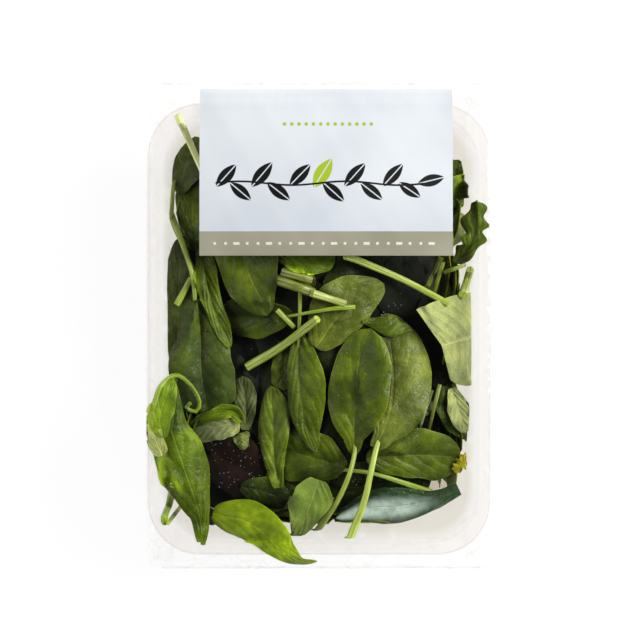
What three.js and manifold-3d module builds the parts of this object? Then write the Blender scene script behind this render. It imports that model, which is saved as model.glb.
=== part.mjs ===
// A pack of baby spinach: a clear ribbed tray filled with loose leaves, shut in a clear
// flow wrap with a printed panel across one end. It lies on its base.
// Millimetres. X runs across the tray, Y along it and Z up. The origin is the middle of
// the tray, on the flat underside of the wrap.
import * as THREE from 'three';
import Module from 'manifold-3d';

const wasm = await Module();
wasm.setup();

// Tray: outer size over the rim, and the wall
const tray = {
  width: 144,
  length: 190,
  corner: 22,
  height: 60,
  base: 0.9,
  wall: 0.8,
  rimWidth: 4.2,
  lipDrop: 3,
  floorInset: 13,
  ribDepth: 1.3,
  ribHalfWidth: 1.8,
  cornerSteps: 5,
};
// Where the ribs stand along half of each side, measured from the middle of that side
const longSideRibs = [-68, -55, -16, 0, 16, 55, 68];
const shortSideRibs = [-39, -22.5, 0, 22.5, 39];

// Wrap: one tube of film, drawn flat at both ends into a crimped fin
const film = {
  wall: 0.5,
  left: -73.6,
  right: 75.2,
  topEdge: 62.6,
  shoulder: 56,
  footInset: 7.5,
  dome: 3.2,
  seamX: 15,
  seamWidth: 0.4,
  seamHalfLength: 70,
};
// Stations of the wrap along Y: height of its top edge, of its underside and depth of the side tuck
const filmStations = [
  { y: -103.2, top: 39.5, bottom: 31, tuck: 1 },
  { y: -102.2, top: 51, bottom: 22, tuck: 7 },
  { y: -99.5, top: 61, bottom: 14, tuck: 10 },
  { y: -95, top: 63.2, bottom: 6.5, tuck: 6 },
  { y: -87, top: 63, bottom: 0.8, tuck: 2 },
  { y: -80, top: film.topEdge, bottom: 0, tuck: 0 },
  { y: -45, top: film.topEdge, bottom: 0, tuck: 0 },
  { y: 0, top: film.topEdge, bottom: 0, tuck: 0 },
  { y: 45, top: film.topEdge, bottom: 0, tuck: 0 },
  { y: 80, top: 62.4, bottom: 0, tuck: 0 },
  { y: 87, top: 62.2, bottom: 0.6, tuck: 2 },
  { y: 95, top: 61.8, bottom: 4.5, tuck: 6 },
  { y: 100.5, top: 60, bottom: 11, tuck: 10 },
  { y: 104.4, top: 53, bottom: 20, tuck: 8 },
  { y: 105.8, top: 41, bottom: 31, tuck: 1 },
];
const fin = { halfThickness: 0.7, length: 9, lean: 74, steps: 3, inset: 1.5 };

// Printed panel: a white field with a grey band along its lower edge
const panel = {
  left: -50.2,
  right: 56.2,
  bandFoot: 30.8,
  bandTop: 41,
  top: 101.4,
  thickness: 0.35,
  gap: 0.4,
};

// Heap: a low core with the leaves that show laid on it
const heap = { halfWidth: 61, halfLength: 84, floor: 3.2, height: 52, edgeDrop: 10 };
const leafThickness = 0.9;
const clearance = 0.4;
const wallLeafGap = 2.4;

/** Linear value at y between the stations of the wrap. */
function stationValue(y, key) {
  const last = filmStations.length - 1;
  const next = filmStations.findIndex(station => station.y > y);
  if (next === 0) return filmStations[0][key];
  if (next < 0) return filmStations[last][key];
  const from = filmStations[next - 1];
  const to = filmStations[next];
  return THREE.MathUtils.lerp(from[key], to[key], (y - from.y) / (to.y - from.y));
}

/** Height of the wrap's top face: its edge height and a low dome over the leaves. */
function filmTop(x, y) {
  const across = Math.max(0, 1 - (x / 74) ** 2);
  const along = Math.max(0, 1 - (y / 92) ** 2);
  return stationValue(y, 'top') + film.dome * across * along;
}

/** Closed geometry through rings with the same number of points, capped by a fan at each end. */
function loft(rings) {
  const count = rings[0].length;
  const points = rings.flat();
  const faces = [];
  for (let ring = 0; ring < rings.length - 1; ring++) {
    for (let i = 0; i < count; i++) {
      const a = ring * count + i;
      const b = ring * count + (i + 1) % count;
      faces.push(a, b, b + count, a, b + count, a + count);
    }
  }
  for (const [start, turned] of [[0, true], [(rings.length - 1) * count, false]]) {
    const middle = new THREE.Vector3();
    for (let i = 0; i < count; i++) middle.addScaledVector(points[start + i], 1 / count);
    points.push(middle);
    for (let i = 0; i < count; i++) {
      const a = start + i;
      const b = start + (i + 1) % count;
      faces.push(points.length - 1, turned ? b : a, turned ? a : b);
    }
  }
  return facingOut(points, faces);
}

/** Indexed geometry of a closed surface, with its faces turned outwards. */
function facingOut(points, faces) {
  let volume = 0;
  for (let i = 0; i < faces.length; i += 3) {
    const [a, b, c] = [points[faces[i]], points[faces[i + 1]], points[faces[i + 2]]];
    volume += a.dot(b.clone().cross(c));
  }
  if (volume < 0) {
    for (let i = 0; i < faces.length; i += 3) {
      [faces[i], faces[i + 1]] = [faces[i + 1], faces[i]];
    }
  }
  return new THREE.BufferGeometry().setFromPoints(points).setIndex(faces);
}

function toSolid(geometry) {
  return new wasm.Manifold(new wasm.Mesh({
    numProp: 3,
    vertProperties: new Float32Array(geometry.attributes.position.array),
    triVerts: new Uint32Array(geometry.index.array),
  }));
}

function toGeometry(solid) {
  const made = solid.getMesh();
  return new THREE.BufferGeometry()
    .setAttribute('position', new THREE.BufferAttribute(new Float32Array(made.vertProperties), 3))
    .setIndex(new THREE.BufferAttribute(new Uint32Array(made.triVerts), 1));
}

/** Offsets along half a straight side, with three points at each rib: [position, rib share]. */
function sidePoints(ribs, halfStraight, ribShare) {
  const scale = halfStraight / (ribs === longSideRibs ? 73 : 50);
  return ribs.flatMap(at => [
    [at * scale - tray.ribHalfWidth, 0],
    [at * scale, ribShare],
    [at * scale + tray.ribHalfWidth, 0],
  ]);
}

/** One level of the tray: a rounded rectangle, drawn in by inset, with its ribs pressed inwards. */
function trayRing(inset, z, ribShare) {
  const radius = tray.corner - inset * 0.45;
  const halfX = tray.width / 2 - inset;
  const halfY = tray.length / 2 - inset;
  const straightX = halfX - radius;
  const straightY = halfY - radius;
  const ring = [];
  const sides = [
    { ribs: longSideRibs, half: straightY, place: (t, d) => [halfX - d, t] },
    { ribs: shortSideRibs, half: straightX, place: (t, d) => [-t, halfY - d] },
    { ribs: longSideRibs, half: straightY, place: (t, d) => [-halfX + d, -t] },
    { ribs: shortSideRibs, half: straightX, place: (t, d) => [t, -halfY + d] },
  ];
  const corners = [[straightX, straightY], [-straightX, straightY],
    [-straightX, -straightY], [straightX, -straightY]];
  sides.forEach((side, quarter) => {
    for (const [t, share] of sidePoints(side.ribs, side.half, ribShare)) {
      const [x, y] = side.place(t, share * tray.ribDepth);
      ring.push(new THREE.Vector3(x, y, z));
    }
    for (let step = 0; step <= tray.cornerSteps; step++) {
      const angle = (quarter + step / tray.cornerSteps) * Math.PI / 2;
      const [cx, cy] = corners[quarter];
      ring.push(new THREE.Vector3(cx + radius * Math.cos(angle), cy + radius * Math.sin(angle), z));
    }
  });
  return ring;
}

/** How far the tray's outer wall stands in from the rim's edge at height z. */
function wallInset(z) {
  return THREE.MathUtils.mapLinear(z, tray.base + 4, tray.height, tray.floorInset - 2.4, tray.rimWidth);
}

function trayGeometry() {
  const { base, wall, height, floorInset, rimWidth, lipDrop } = tray;
  const ribFoot = 9;
  const ribHead = 51;
  return loft([
    trayRing(floorInset, base, 0),
    trayRing(wallInset(base + 4), base + 4, 0),
    trayRing(wallInset(ribFoot), ribFoot, 1),
    trayRing(wallInset(ribHead), ribHead, 1),
    trayRing(rimWidth, height - wall, 0),
    trayRing(wall, height - wall, 0),
    trayRing(wall, height - lipDrop, 0),
    trayRing(0, height - lipDrop, 0),
    trayRing(0.3, height, 0),
    trayRing(rimWidth + wall, height, 0),
    trayRing(wallInset(ribHead) + wall, ribHead, 1),
    trayRing(wallInset(ribFoot) + wall, ribFoot, 1),
    trayRing(wallInset(base + 4) + wall, base + 4 + wall / 2, 0),
    trayRing(floorInset + wall / 2, base + wall, 0),
  ]);
}

/** Points of the wrap's section, from the top left clockwise: share across, share up, corner inset. */
const sectionPoints = [
  [-1, 0.93], [-0.97, 1], [-0.66, 1], [-0.33, 1], [0, 1], [0.33, 1], [0.66, 1], [0.97, 1],
  [1, 0.93], [1, 0.5], [1, 0.06], [0.95, 0], [0.5, 0], [0, 0], [-0.5, 0],
  [-0.95, 0], [-1, 0.06], [-1, 0.5],
];

/** How far the wrap's sides lean in at height z: upright past the tray's lip, then in like its walls. */
function sideInset(z) {
  return film.footInset * Math.max(0, 1 - z / film.shoulder);
}

/** One section of the wrap's body at y, moved inwards by offset. */
function bodyRing(station, offset) {
  const middle = (film.left + film.right) / 2;
  const half = (film.right - film.left) / 2;
  return sectionPoints.map(([across, up]) => {
    const inset = sideInset(THREE.MathUtils.lerp(station.bottom, station.top, up));
    const tuck = station.tuck * (1 - Math.abs(2 * up - 1)) * (Math.abs(across) > 0.96 ? 1 : 0);
    const x = middle + across * (half - offset - inset - tuck);
    const top = filmTop(x, station.y) - offset;
    const bottom = station.bottom + offset;
    return new THREE.Vector3(x, station.y, THREE.MathUtils.lerp(bottom, top, up));
  });
}

/** Sections of one crimped fin, hanging from the closed end of the wrap. */
function finRings(station, side) {
  const rings = [];
  const lean = THREE.MathUtils.degToRad(fin.lean);
  const root = (station.top + station.bottom) / 2;
  const middle = (film.left + film.right) / 2;
  const half = (film.right - film.left) / 2 - sideInset(root) - fin.inset;
  for (let step = 0; step <= fin.steps; step++) {
    const share = step / fin.steps;
    const tilt = lean * (step === 0 ? 0.5 : 1);
    const y = 0.7 + fin.length * share * Math.cos(lean);
    const z = root - fin.length * share * Math.sin(lean);
    rings.push(sectionPoints.map(([across, up]) => {
      const out = (2 * up - 1) * fin.halfThickness;
      return new THREE.Vector3(
        middle + across * half,
        station.y + side * (y + out * Math.sin(tilt)),
        z + out * Math.cos(tilt),
      );
    }));
  }
  return rings;
}

function wrapGeometry() {
  const first = filmStations[0];
  const last = filmStations.at(-1);
  const outer = toSolid(loft([
    ...finRings(first, -1).reverse(),
    ...filmStations.map(station => bodyRing(station, 0)),
    ...finRings(last, 1),
  ]));
  const seam = new THREE.BoxGeometry(film.seamWidth, 2 * film.seamHalfLength, 4 * film.wall).toNonIndexed();
  seam.translate(film.seamX, 0, 0);
  return toGeometry(outer.subtract(wrapInside(film.wall)).subtract(boxSolid(seam)));
}

/** The room inside the wrap, its walls moved in by offset. */
function wrapInside(offset) {
  return toSolid(loft(filmStations.slice(1, -1).map(station => bodyRing(station, offset))));
}

/** A solid from a box geometry, whose corners are joined first. */
function boxSolid(box) {
  box.computeBoundingBox();
  const { min, max } = box.boundingBox;
  const ring = z => [[min.x, min.y], [max.x, min.y], [max.x, max.y], [min.x, max.y]]
    .map(([x, y]) => new THREE.Vector3(x, y, z));
  return toSolid(loft([ring(min.z), ring(max.z)]));
}

/** A thin plate that follows the wrap's top face between the given edges. */
function printedPlate(left, right, foot, top) {
  const middle = (film.left + film.right) / 2;
  const half = (film.right - film.left) / 2;
  const columns = sectionPoints.filter(point => point[1] === 1).map(point => middle + point[0] * half);
  const rows = filmStations.map(station => station.y);
  const between = (values, from, to) => [from, ...values.filter(v => v > from + 0.5 && v < to - 0.5), to];
  const xs = between(columns, left, right);
  const ys = between(rows, foot, top);
  const height = (x, y) => filmTop(x, y) + panel.gap;
  return slab(xs.length, ys.length, (i, j) => {
    const z = height(xs[i], ys[j]);
    return [
      new THREE.Vector3(xs[i], ys[j], z + panel.thickness),
      new THREE.Vector3(xs[i], ys[j], z),
    ];
  });
}

/** A closed slab between two grids, both split into triangles alike. place(i, j) gives [upper, lower]. */
function slab(columns, rows, place) {
  const points = [];
  const faces = [];
  for (let j = 0; j < rows; j++) {
    for (let i = 0; i < columns; i++) points.push(...place(i, j));
  }
  const at = (i, j, lower) => 2 * (j * columns + i) + lower;
  const quad = (a, b, c, d) => faces.push(a, b, c, a, c, d);
  for (let j = 0; j < rows - 1; j++) {
    for (let i = 0; i < columns - 1; i++) {
      quad(at(i, j, 0), at(i + 1, j, 0), at(i + 1, j + 1, 0), at(i, j + 1, 0));
      faces.push(at(i, j, 1), at(i + 1, j + 1, 1), at(i + 1, j, 1));
      faces.push(at(i, j, 1), at(i, j + 1, 1), at(i + 1, j + 1, 1));
    }
  }
  for (let i = 0; i < columns - 1; i++) {
    quad(at(i, 0, 1), at(i + 1, 0, 1), at(i + 1, 0, 0), at(i, 0, 0));
    quad(at(i, rows - 1, 0), at(i + 1, rows - 1, 0), at(i + 1, rows - 1, 1), at(i, rows - 1, 1));
  }
  for (let j = 0; j < rows - 1; j++) {
    quad(at(0, j, 0), at(0, j + 1, 0), at(0, j + 1, 1), at(0, j, 1));
    quad(at(columns - 1, j, 1), at(columns - 1, j + 1, 1), at(columns - 1, j + 1, 0), at(columns - 1, j, 0));
  }
  return facingOut(points, faces);
}

// Leaves that show from above, bottom of the heap first. Places are X and Y on the tray.
// base: foot of the blade, tip: its end, stem: cut end of its stalk, lift: rise over the heap
// at base and tip, roll: lean to one side and fold: how far the two halves shut, in degrees.
const topLeaves = [
  { base: [-48, 32], tip: [-52, 72], width: 20, lift: [-1, -2], roll: 10, fold: 15 },
  { base: [-60, 59], tip: [-57, 83], width: 16, stem: [-65, 36], lift: [0, -1], roll: -15, fold: 10 },
  { base: [56, 50], tip: [57, 72], width: 15, lift: [-1, -3], roll: 10, fold: 10 },
  { base: [60, 28], tip: [63, 54], width: 13, lift: [0, -3], roll: 25, fold: 10 },
  { base: [54, 30], tip: [60, 46], width: 11, lift: [2, 0], roll: -20, fold: 10 },
  { base: [-12, -6], tip: [-17, -34], width: 16, lift: [-1, -2], roll: 8, fold: 15 },
  { base: [-32, -48], tip: [-34, -19], width: 12, lift: [-3, -1], roll: -10, fold: 25 },
  { base: [-16, -66], tip: [-33, -71], width: 13, lift: [-4, -4], roll: 0, fold: 15 },
  { base: [50, -24], tip: [62, -47], width: 14, lift: [0, -3], roll: 15, fold: 10 },
  { base: [47, -72], tip: [3, -79], width: 16, stem: [58, -67], lift: [0, 1], roll: 12, fold: 12 },
  { base: [27, -50], tip: [59, -54], width: 22, lift: [1, 0], roll: -8, fold: 12 },
  { base: [6, -58], tip: [-22, -52], width: 21, stem: [47, -68], lift: [2, 1], roll: 5, fold: 15 },
  { base: [-8, -5], tip: [-6, -53], width: 18, stem: [-8, 24], lift: [0, 1], roll: -10, fold: 15 },
  { base: [-19, -22], tip: [-18, -58], width: 17, lift: [0, 2], roll: 12, fold: 28 },
  { base: [-2, -5], tip: [27, 18], width: 27, lift: [0, 1], roll: 0, fold: 8 },
  { base: [-14, 5], tip: [-42, 6], width: 17, stem: [15, 9], lift: [1, 0], roll: -12, fold: 12 },
  { base: [-59, -12], tip: [-58, 39], width: 16, lift: [1, 0], roll: -12, fold: 16 },
  { base: [-50, 5], tip: [-44, -37], width: 28, stem: [-62, 49], lift: [3, 0], roll: 0, fold: 26 },
  { base: [-50, 34], tip: [-44, -3], width: 13, lift: [3, 2], roll: 10, fold: 35 },
  { base: [-38, 42], tip: [-24, 5], width: 27, lift: [2, 3], roll: 0, fold: 14 },
  { base: [6, 30], tip: [-16, 26], width: 13, lift: [2, 1], roll: 0, fold: 10 },
  { base: [-34, -35], tip: [-53, -46], width: 14, lift: [2, 2], roll: -10, fold: 25 },
  { base: [6, -69], tip: [-15, -83], width: 24, lift: [3, 0], roll: 10, fold: 12 },
  { base: [-50, -71], tip: [-64, -27], width: 24, stem: [-50, -88], lift: [0, 3], roll: 10, fold: 14 },
  { base: [60, 14], tip: [55, -25], width: 27, stem: [64, 25], lift: [3, 1], roll: 6, fold: 16 },
  { base: [24, -48], tip: [33, 7], width: 38, stem: [12, -89], lift: [3, 3], roll: -3, fold: 8 },
  { base: [14, -50], tip: [22, 0], width: 29, stem: [-1, -87], lift: [4, 6], roll: 5, fold: 10 },
  { base: [-38, -70], tip: [-5, -99], width: 22, lift: [-1, 20], crest: 6, roll: -4, fold: 4 },
];
// Leaves pressed against the tray's walls: side is the wall, along the place on it
const wallLeaves = [
  { side: 0, along: -54, rise: 26, lean: 60, length: 40, width: 24 },
  { side: 0, along: -12, rise: 30, lean: -35, length: 44, width: 26 },
  { side: 0, along: 34, rise: 22, lean: 75, length: 40, width: 24 },
  { side: 1, along: -26, rise: 24, lean: -60, length: 38, width: 22 },
  { side: 1, along: 22, rise: 28, lean: 50, length: 40, width: 24 },
  { side: 2, along: -48, rise: 28, lean: -50, length: 42, width: 24 },
  { side: 2, along: 0, rise: 22, lean: 80, length: 38, width: 22 },
  { side: 2, along: 46, rise: 28, lean: 30, length: 40, width: 26 },
  { side: 3, along: -24, rise: 26, lean: 65, length: 38, width: 22 },
  { side: 3, along: 24, rise: 24, lean: -40, length: 38, width: 24 },
];
// Loose stalks that lie across the leaves: cut end, other end and thickness
const looseStems = [
  { from: [-59, 90], to: [-46, 62], width: 2.2, lift: [3, 1] },
  { from: [-1, 3], to: [-31, -17], width: 2.8, lift: [6, 0] },
  { from: [11, 11], to: [-16, 21], width: 3.4, lift: [3, 0] },
  { from: [54, 11], to: [14, 31], width: 2.6, lift: [5, 0] },
  { from: [47, 15], to: [52, 32], width: 3.4, lift: [0, 0] },
  { from: [-60, 12], to: [-54, 21], width: 2.4, lift: [5, 1] },
  { from: [-61, -80], to: [-54, -62], width: 3, lift: [1, -1] },
];

/** Height of the heap's core: nearly flat in the middle, lower towards the walls. */
function heapTop(x, y) {
  const edge = Math.max(Math.abs(x) / 66, Math.abs(y) / 88);
  const bumps = 1.2 * Math.sin(x / 9 + 1) * Math.cos(y / 12);
  return heap.height - heap.edgeDrop * Math.min(1, edge) ** 4 + bumps;
}

/** Half width of a spinach blade at share t of its length: narrow at the stalk, round at the tip. */
function bladeProfile(t) {
  return Math.sin(Math.PI * (0.06 + 0.88 * t ** 0.8)) ** 0.7;
}

/** One blade as a thin wavy slab along a curve, its two halves folded up from the midrib. */
function bladeSolid(curve, across, width, foldDegrees, phase, rows) {
  const columns = 5;
  const fold = THREE.MathUtils.degToRad(foldDegrees);
  return toSolid(slab(columns, rows, (i, j) => {
    const t = j / (rows - 1);
    const side = 2 * i / (columns - 1) - 1;
    const middle = curve.getPoint(t);
    const normal = curve.getTangent(t).cross(across).normalize();
    const reach = side * width / 2 * bladeProfile(t);
    const wave = 0.8 * side * side * Math.sin(7 * t + 2.5 * side + phase);
    const point = middle
      .addScaledVector(across, reach * Math.cos(fold))
      .addScaledVector(normal, Math.abs(reach) * Math.sin(fold) + wave);
    return [point, point.clone().addScaledVector(normal, -leafThickness)];
  }));
}

/** A stalk: a six-sided tube along a curve, slightly thinner at its second end. */
function stalkSolid(curve, width, steps) {
  const sides = 6;
  const rings = [];
  const up = new THREE.Vector3(0, 0, 1);
  for (let step = 0; step <= steps; step++) {
    const t = step / steps;
    const middle = curve.getPoint(t);
    const across = new THREE.Vector3().crossVectors(curve.getTangent(t), up).normalize();
    const over = new THREE.Vector3().crossVectors(across, curve.getTangent(t)).normalize();
    const radius = width / 2 * (1 - 0.15 * t);
    rings.push(Array.from({ length: sides }, (unused, i) => {
      const angle = 2 * Math.PI * i / sides;
      return middle.clone()
        .addScaledVector(across, radius * Math.cos(angle))
        .addScaledVector(over, radius * Math.sin(angle));
    }));
  }
  return toSolid(loft(rings));
}

/** A point over the heap, kept under the wrap. */
function onHeap([x, y], lift) {
  return new THREE.Vector3(x, y, Math.min(heapTop(x, y) + lift, filmTop(x, y) - 2));
}

function topLeafSolids(leaf, index) {
  const base = onHeap(leaf.base, leaf.lift[0]);
  const tip = onHeap(leaf.tip, leaf.lift[1]);
  const crest = base.clone().lerp(tip, 0.5);
  crest.z = Math.max(base.z, tip.z, heapTop(crest.x, crest.y) + leaf.lift[0] / 2) + (leaf.crest ?? 0.8);
  const curve = new THREE.QuadraticBezierCurve3(base, crest, tip);
  const heading = tip.clone().sub(base).setZ(0).normalize();
  const across = new THREE.Vector3(0, 0, 1).cross(heading)
    .applyAxisAngle(heading, THREE.MathUtils.degToRad(leaf.roll));
  const solids = [bladeSolid(curve, across, leaf.width, leaf.fold, index, 6)];
  if (leaf.stem) {
    const end = onHeap(leaf.stem, leaf.lift[0]);
    const inside = curve.getPoint(0.12).add(new THREE.Vector3(0, 0, -0.8));
    const bend = inside.clone().lerp(end, 0.5).add(new THREE.Vector3(0, 0, 1));
    solids.push(stalkSolid(new THREE.QuadraticBezierCurve3(inside, bend, end), 2.4, 4));
  }
  return solids;
}

/** A leaf standing against wall number side, its face turned out of the heap. */
function wallLeafSolid(leaf, index) {
  const turn = leaf.side * Math.PI / 2;
  const out = new THREE.Vector3(Math.cos(turn), Math.sin(turn), 0);
  const along = new THREE.Vector3(-Math.sin(turn), Math.cos(turn), 0);
  const halfSize = (leaf.side % 2 ? tray.length : tray.width) / 2;
  const reach = z => halfSize - wallInset(z) - tray.wall - tray.ribDepth - wallLeafGap;
  const lean = THREE.MathUtils.degToRad(leaf.lean);
  const heading = along.clone().multiplyScalar(Math.sin(lean)).setZ(Math.cos(lean));
  const place = share => {
    const z = leaf.rise + heading.z * share * leaf.length;
    return out.clone().multiplyScalar(reach(z))
      .addScaledVector(along, leaf.along + Math.sin(lean) * share * leaf.length)
      .setZ(z);
  };
  const curve = new THREE.QuadraticBezierCurve3(place(-0.5), place(0), place(0.5));
  const across = heading.clone().cross(out).normalize();
  return bladeSolid(curve, across, leaf.width, 8, index, 4);
}

/** The core's sections, from the floor up: [height, share of the full outline]. */
function coreGeometry() {
  const levels = [[0, 0.86], [0.08, 0.92], [0.5, 0.975], [0.84, 1]];
  const pointsRound = 32;
  const ringAt = (share, heightAt) => Array.from({ length: pointsRound }, (unused, i) => {
    const angle = 2 * Math.PI * i / pointsRound;
    const lump = 1 + 0.02 * Math.sin(5 * angle + 1) + 0.015 * Math.sin(11 * angle);
    const power = 0.42;
    const x = heap.halfWidth * share * lump * Math.sign(Math.cos(angle)) * Math.abs(Math.cos(angle)) ** power;
    const y = heap.halfLength * share * lump * Math.sign(Math.sin(angle)) * Math.abs(Math.sin(angle)) ** power;
    return new THREE.Vector3(x, y, heightAt(x, y));
  });
  const sides = levels.map(([up, share]) =>
    ringAt(share, (x, y) => THREE.MathUtils.lerp(heap.floor, heapTop(x, y) - 1, up)));
  const tops = [0.96, 0.7, 0.4].map(share => ringAt(share, (x, y) => heapTop(x, y)));
  return loft([...sides, ...tops]);
}

/** Where leaves may be: the tray's hollow and the room over its rim, under the wrap. */
function roomForLeaves() {
  const { base, wall, height, floorInset, rimWidth } = tray;
  const shift = wall + tray.ribDepth + clearance;
  const hollow = loft([
    trayRing(floorInset + shift, base + wall + clearance, 0),
    trayRing(wallInset(base + 5) + shift, base + 6, 0),
    trayRing(rimWidth + shift, height + 5, 0),
  ]);
  const above = new THREE.BoxGeometry(2 * tray.width, 2 * tray.length, 40);
  above.translate(0, 0, height + clearance + 20);
  return toSolid(hollow).add(boxSolid(above)).intersect(wrapInside(film.wall + clearance));
}

function heapGeometry() {
  const stems = looseStems.map(stem => {
    const from = onHeap(stem.from, stem.lift[0]);
    const to = onHeap(stem.to, stem.lift[1] - 0.5);
    const bend = from.clone().lerp(to, 0.5).add(new THREE.Vector3(0, 0, 0.6));
    return stalkSolid(new THREE.QuadraticBezierCurve3(from, bend, to), stem.width, 3);
  });
  const leaves = [...topLeaves.flatMap(topLeafSolids), ...wallLeaves.map(wallLeafSolid), ...stems];
  const joined = leaves.reduce((whole, leaf) => whole.add(leaf), toSolid(coreGeometry()));
  return toGeometry(joined.intersect(roomForLeaves()));
}

function part(name, geometry, look) {
  const mesh = new THREE.Mesh(geometry, new THREE.MeshStandardMaterial(look));
  mesh.name = name;
  return mesh;
}

const clearPlastic = { color: 0xe9e7e2, roughness: 0.12, metalness: 0, transparent: true, opacity: 0.35 };
const clearFilm = { color: 0xf4f3f1, roughness: 0.08, metalness: 0, transparent: true, opacity: 0.2 };

const pack = new THREE.Group();
pack.add(
  part('tray', trayGeometry(), clearPlastic),
  part('spinach', heapGeometry(), { color: 0x41601f, roughness: 0.5, metalness: 0 }),
  part('wrap', wrapGeometry(), clearFilm),
  part('panel', printedPlate(panel.left, panel.right, panel.bandTop + clearance, panel.top),
    { color: 0xe4e8f0, roughness: 0.35, metalness: 0 }),
  part('panel_band', printedPlate(panel.left, panel.right, panel.bandFoot, panel.bandTop),
    { color: 0x9c9a86, roughness: 0.4, metalness: 0 }),
);

export default pack;
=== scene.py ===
# A clear tray of baby spinach in a clear flow wrap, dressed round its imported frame.
# Places and sizes are in millimetres and are turned to metres where a mesh is filled.
import functools
import math

import bpy
import numpy as np
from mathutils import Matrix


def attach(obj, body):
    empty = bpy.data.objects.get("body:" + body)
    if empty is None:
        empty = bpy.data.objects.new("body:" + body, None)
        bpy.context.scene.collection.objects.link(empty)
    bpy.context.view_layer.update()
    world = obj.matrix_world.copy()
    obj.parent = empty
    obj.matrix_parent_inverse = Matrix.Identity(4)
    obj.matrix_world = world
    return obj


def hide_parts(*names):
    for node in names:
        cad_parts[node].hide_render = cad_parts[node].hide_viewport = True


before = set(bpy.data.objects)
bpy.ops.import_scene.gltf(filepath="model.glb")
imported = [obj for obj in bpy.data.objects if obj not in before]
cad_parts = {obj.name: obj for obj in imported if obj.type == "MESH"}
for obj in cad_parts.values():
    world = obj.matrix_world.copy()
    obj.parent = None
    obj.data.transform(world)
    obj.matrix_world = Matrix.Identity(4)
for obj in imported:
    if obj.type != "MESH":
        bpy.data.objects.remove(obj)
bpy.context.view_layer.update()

mm = 0.001
rng = np.random.default_rng(41)


# Small helpers for Blender

def clearSelection():
    if bpy.context.object and bpy.context.object.mode != "OBJECT":
        bpy.ops.object.mode_set(mode="OBJECT")
    bpy.ops.object.select_all(action="DESELECT")


def pick(piece):
    clearSelection()
    piece.select_set(True)
    bpy.context.view_layer.objects.active = piece


def applyModifiers(piece):
    pick(piece)
    for modifier in list(piece.modifiers):
        bpy.ops.object.modifier_apply(modifier=modifier.name)


def joinPieces(parts, name):
    clearSelection()
    for part in parts:
        part.select_set(True)
    bpy.context.view_layer.objects.active = parts[0]
    bpy.ops.object.join()
    parts[0].name = name
    parts[0].data.name = name
    return parts[0]


def smoothPiece(piece, degrees):
    pick(piece)
    bpy.ops.object.shade_smooth_by_angle(angle=math.radians(degrees))


def copyOf(master, name):
    piece = bpy.data.objects.new(name, master.data.copy())
    bpy.context.collection.objects.link(piece)
    return piece


def finishPiece(piece, node):        # node is the frame's, which the piece takes the place of
    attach(piece, "root")
    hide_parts(node)
    print("made", piece.name, "with", len(piece.data.polygons), "faces")


def fillMesh(piece, order, points):       # order[k] is the vertex that takes the k-th point
    places = np.empty((len(order), 3))
    places[order] = np.asarray(points).reshape(-1, 3) * mm
    piece.data.vertices.foreach_set("co", places.ravel())
    piece.data.update()


def gridMaster(name, columns, rows):      # a flat grid, and its vertices row by row
    clearSelection()
    bpy.ops.mesh.primitive_grid_add(x_subdivisions=columns, y_subdivisions=rows, size=2, calc_uvs=True)
    master = bpy.context.object
    master.name = name
    places = np.array([vertex.co[:] for vertex in master.data.vertices])
    order = np.lexsort((places[:, 0].round(5), places[:, 1].round(5)))
    return master, order


def tubeMaster(name, sides, rings):       # a closed tube, and its vertices ring by ring
    clearSelection()
    bpy.ops.mesh.primitive_circle_add(vertices=sides, radius=1, fill_type="NGON")
    master = bpy.context.object
    master.name = name
    bpy.ops.object.mode_set(mode="EDIT")
    bpy.ops.mesh.select_all(action="SELECT")
    bpy.ops.mesh.duplicate()
    bpy.ops.mesh.flip_normals()
    for step in range(rings - 1):
        bpy.ops.mesh.extrude_region_move(TRANSFORM_OT_translate={"value": (0, 0, 1)})
    bpy.ops.mesh.select_all(action="SELECT")
    bpy.ops.mesh.remove_doubles(threshold=0.001)
    bpy.ops.mesh.normals_make_consistent(inside=False)
    bpy.ops.object.mode_set(mode="OBJECT")
    places = np.array([vertex.co[:] for vertex in master.data.vertices])
    around = np.arctan2(places[:, 1], places[:, 0]) % (2 * math.pi)
    order = np.lexsort((around.round(4), places[:, 2].round(4)))
    return master, order


def removeMaster(master):
    bpy.data.objects.remove(master, do_unlink=True)


# Colour and shader helpers

def linear(red, green, blue):             # screen colour, 0 to 255, as a linear colour
    shares = [value / 255 for value in (red, green, blue)]
    return tuple(s / 12.92 if s < 0.04045 else ((s + 0.055) / 1.055) ** 2.4 for s in shares) + (1.0,)


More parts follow.
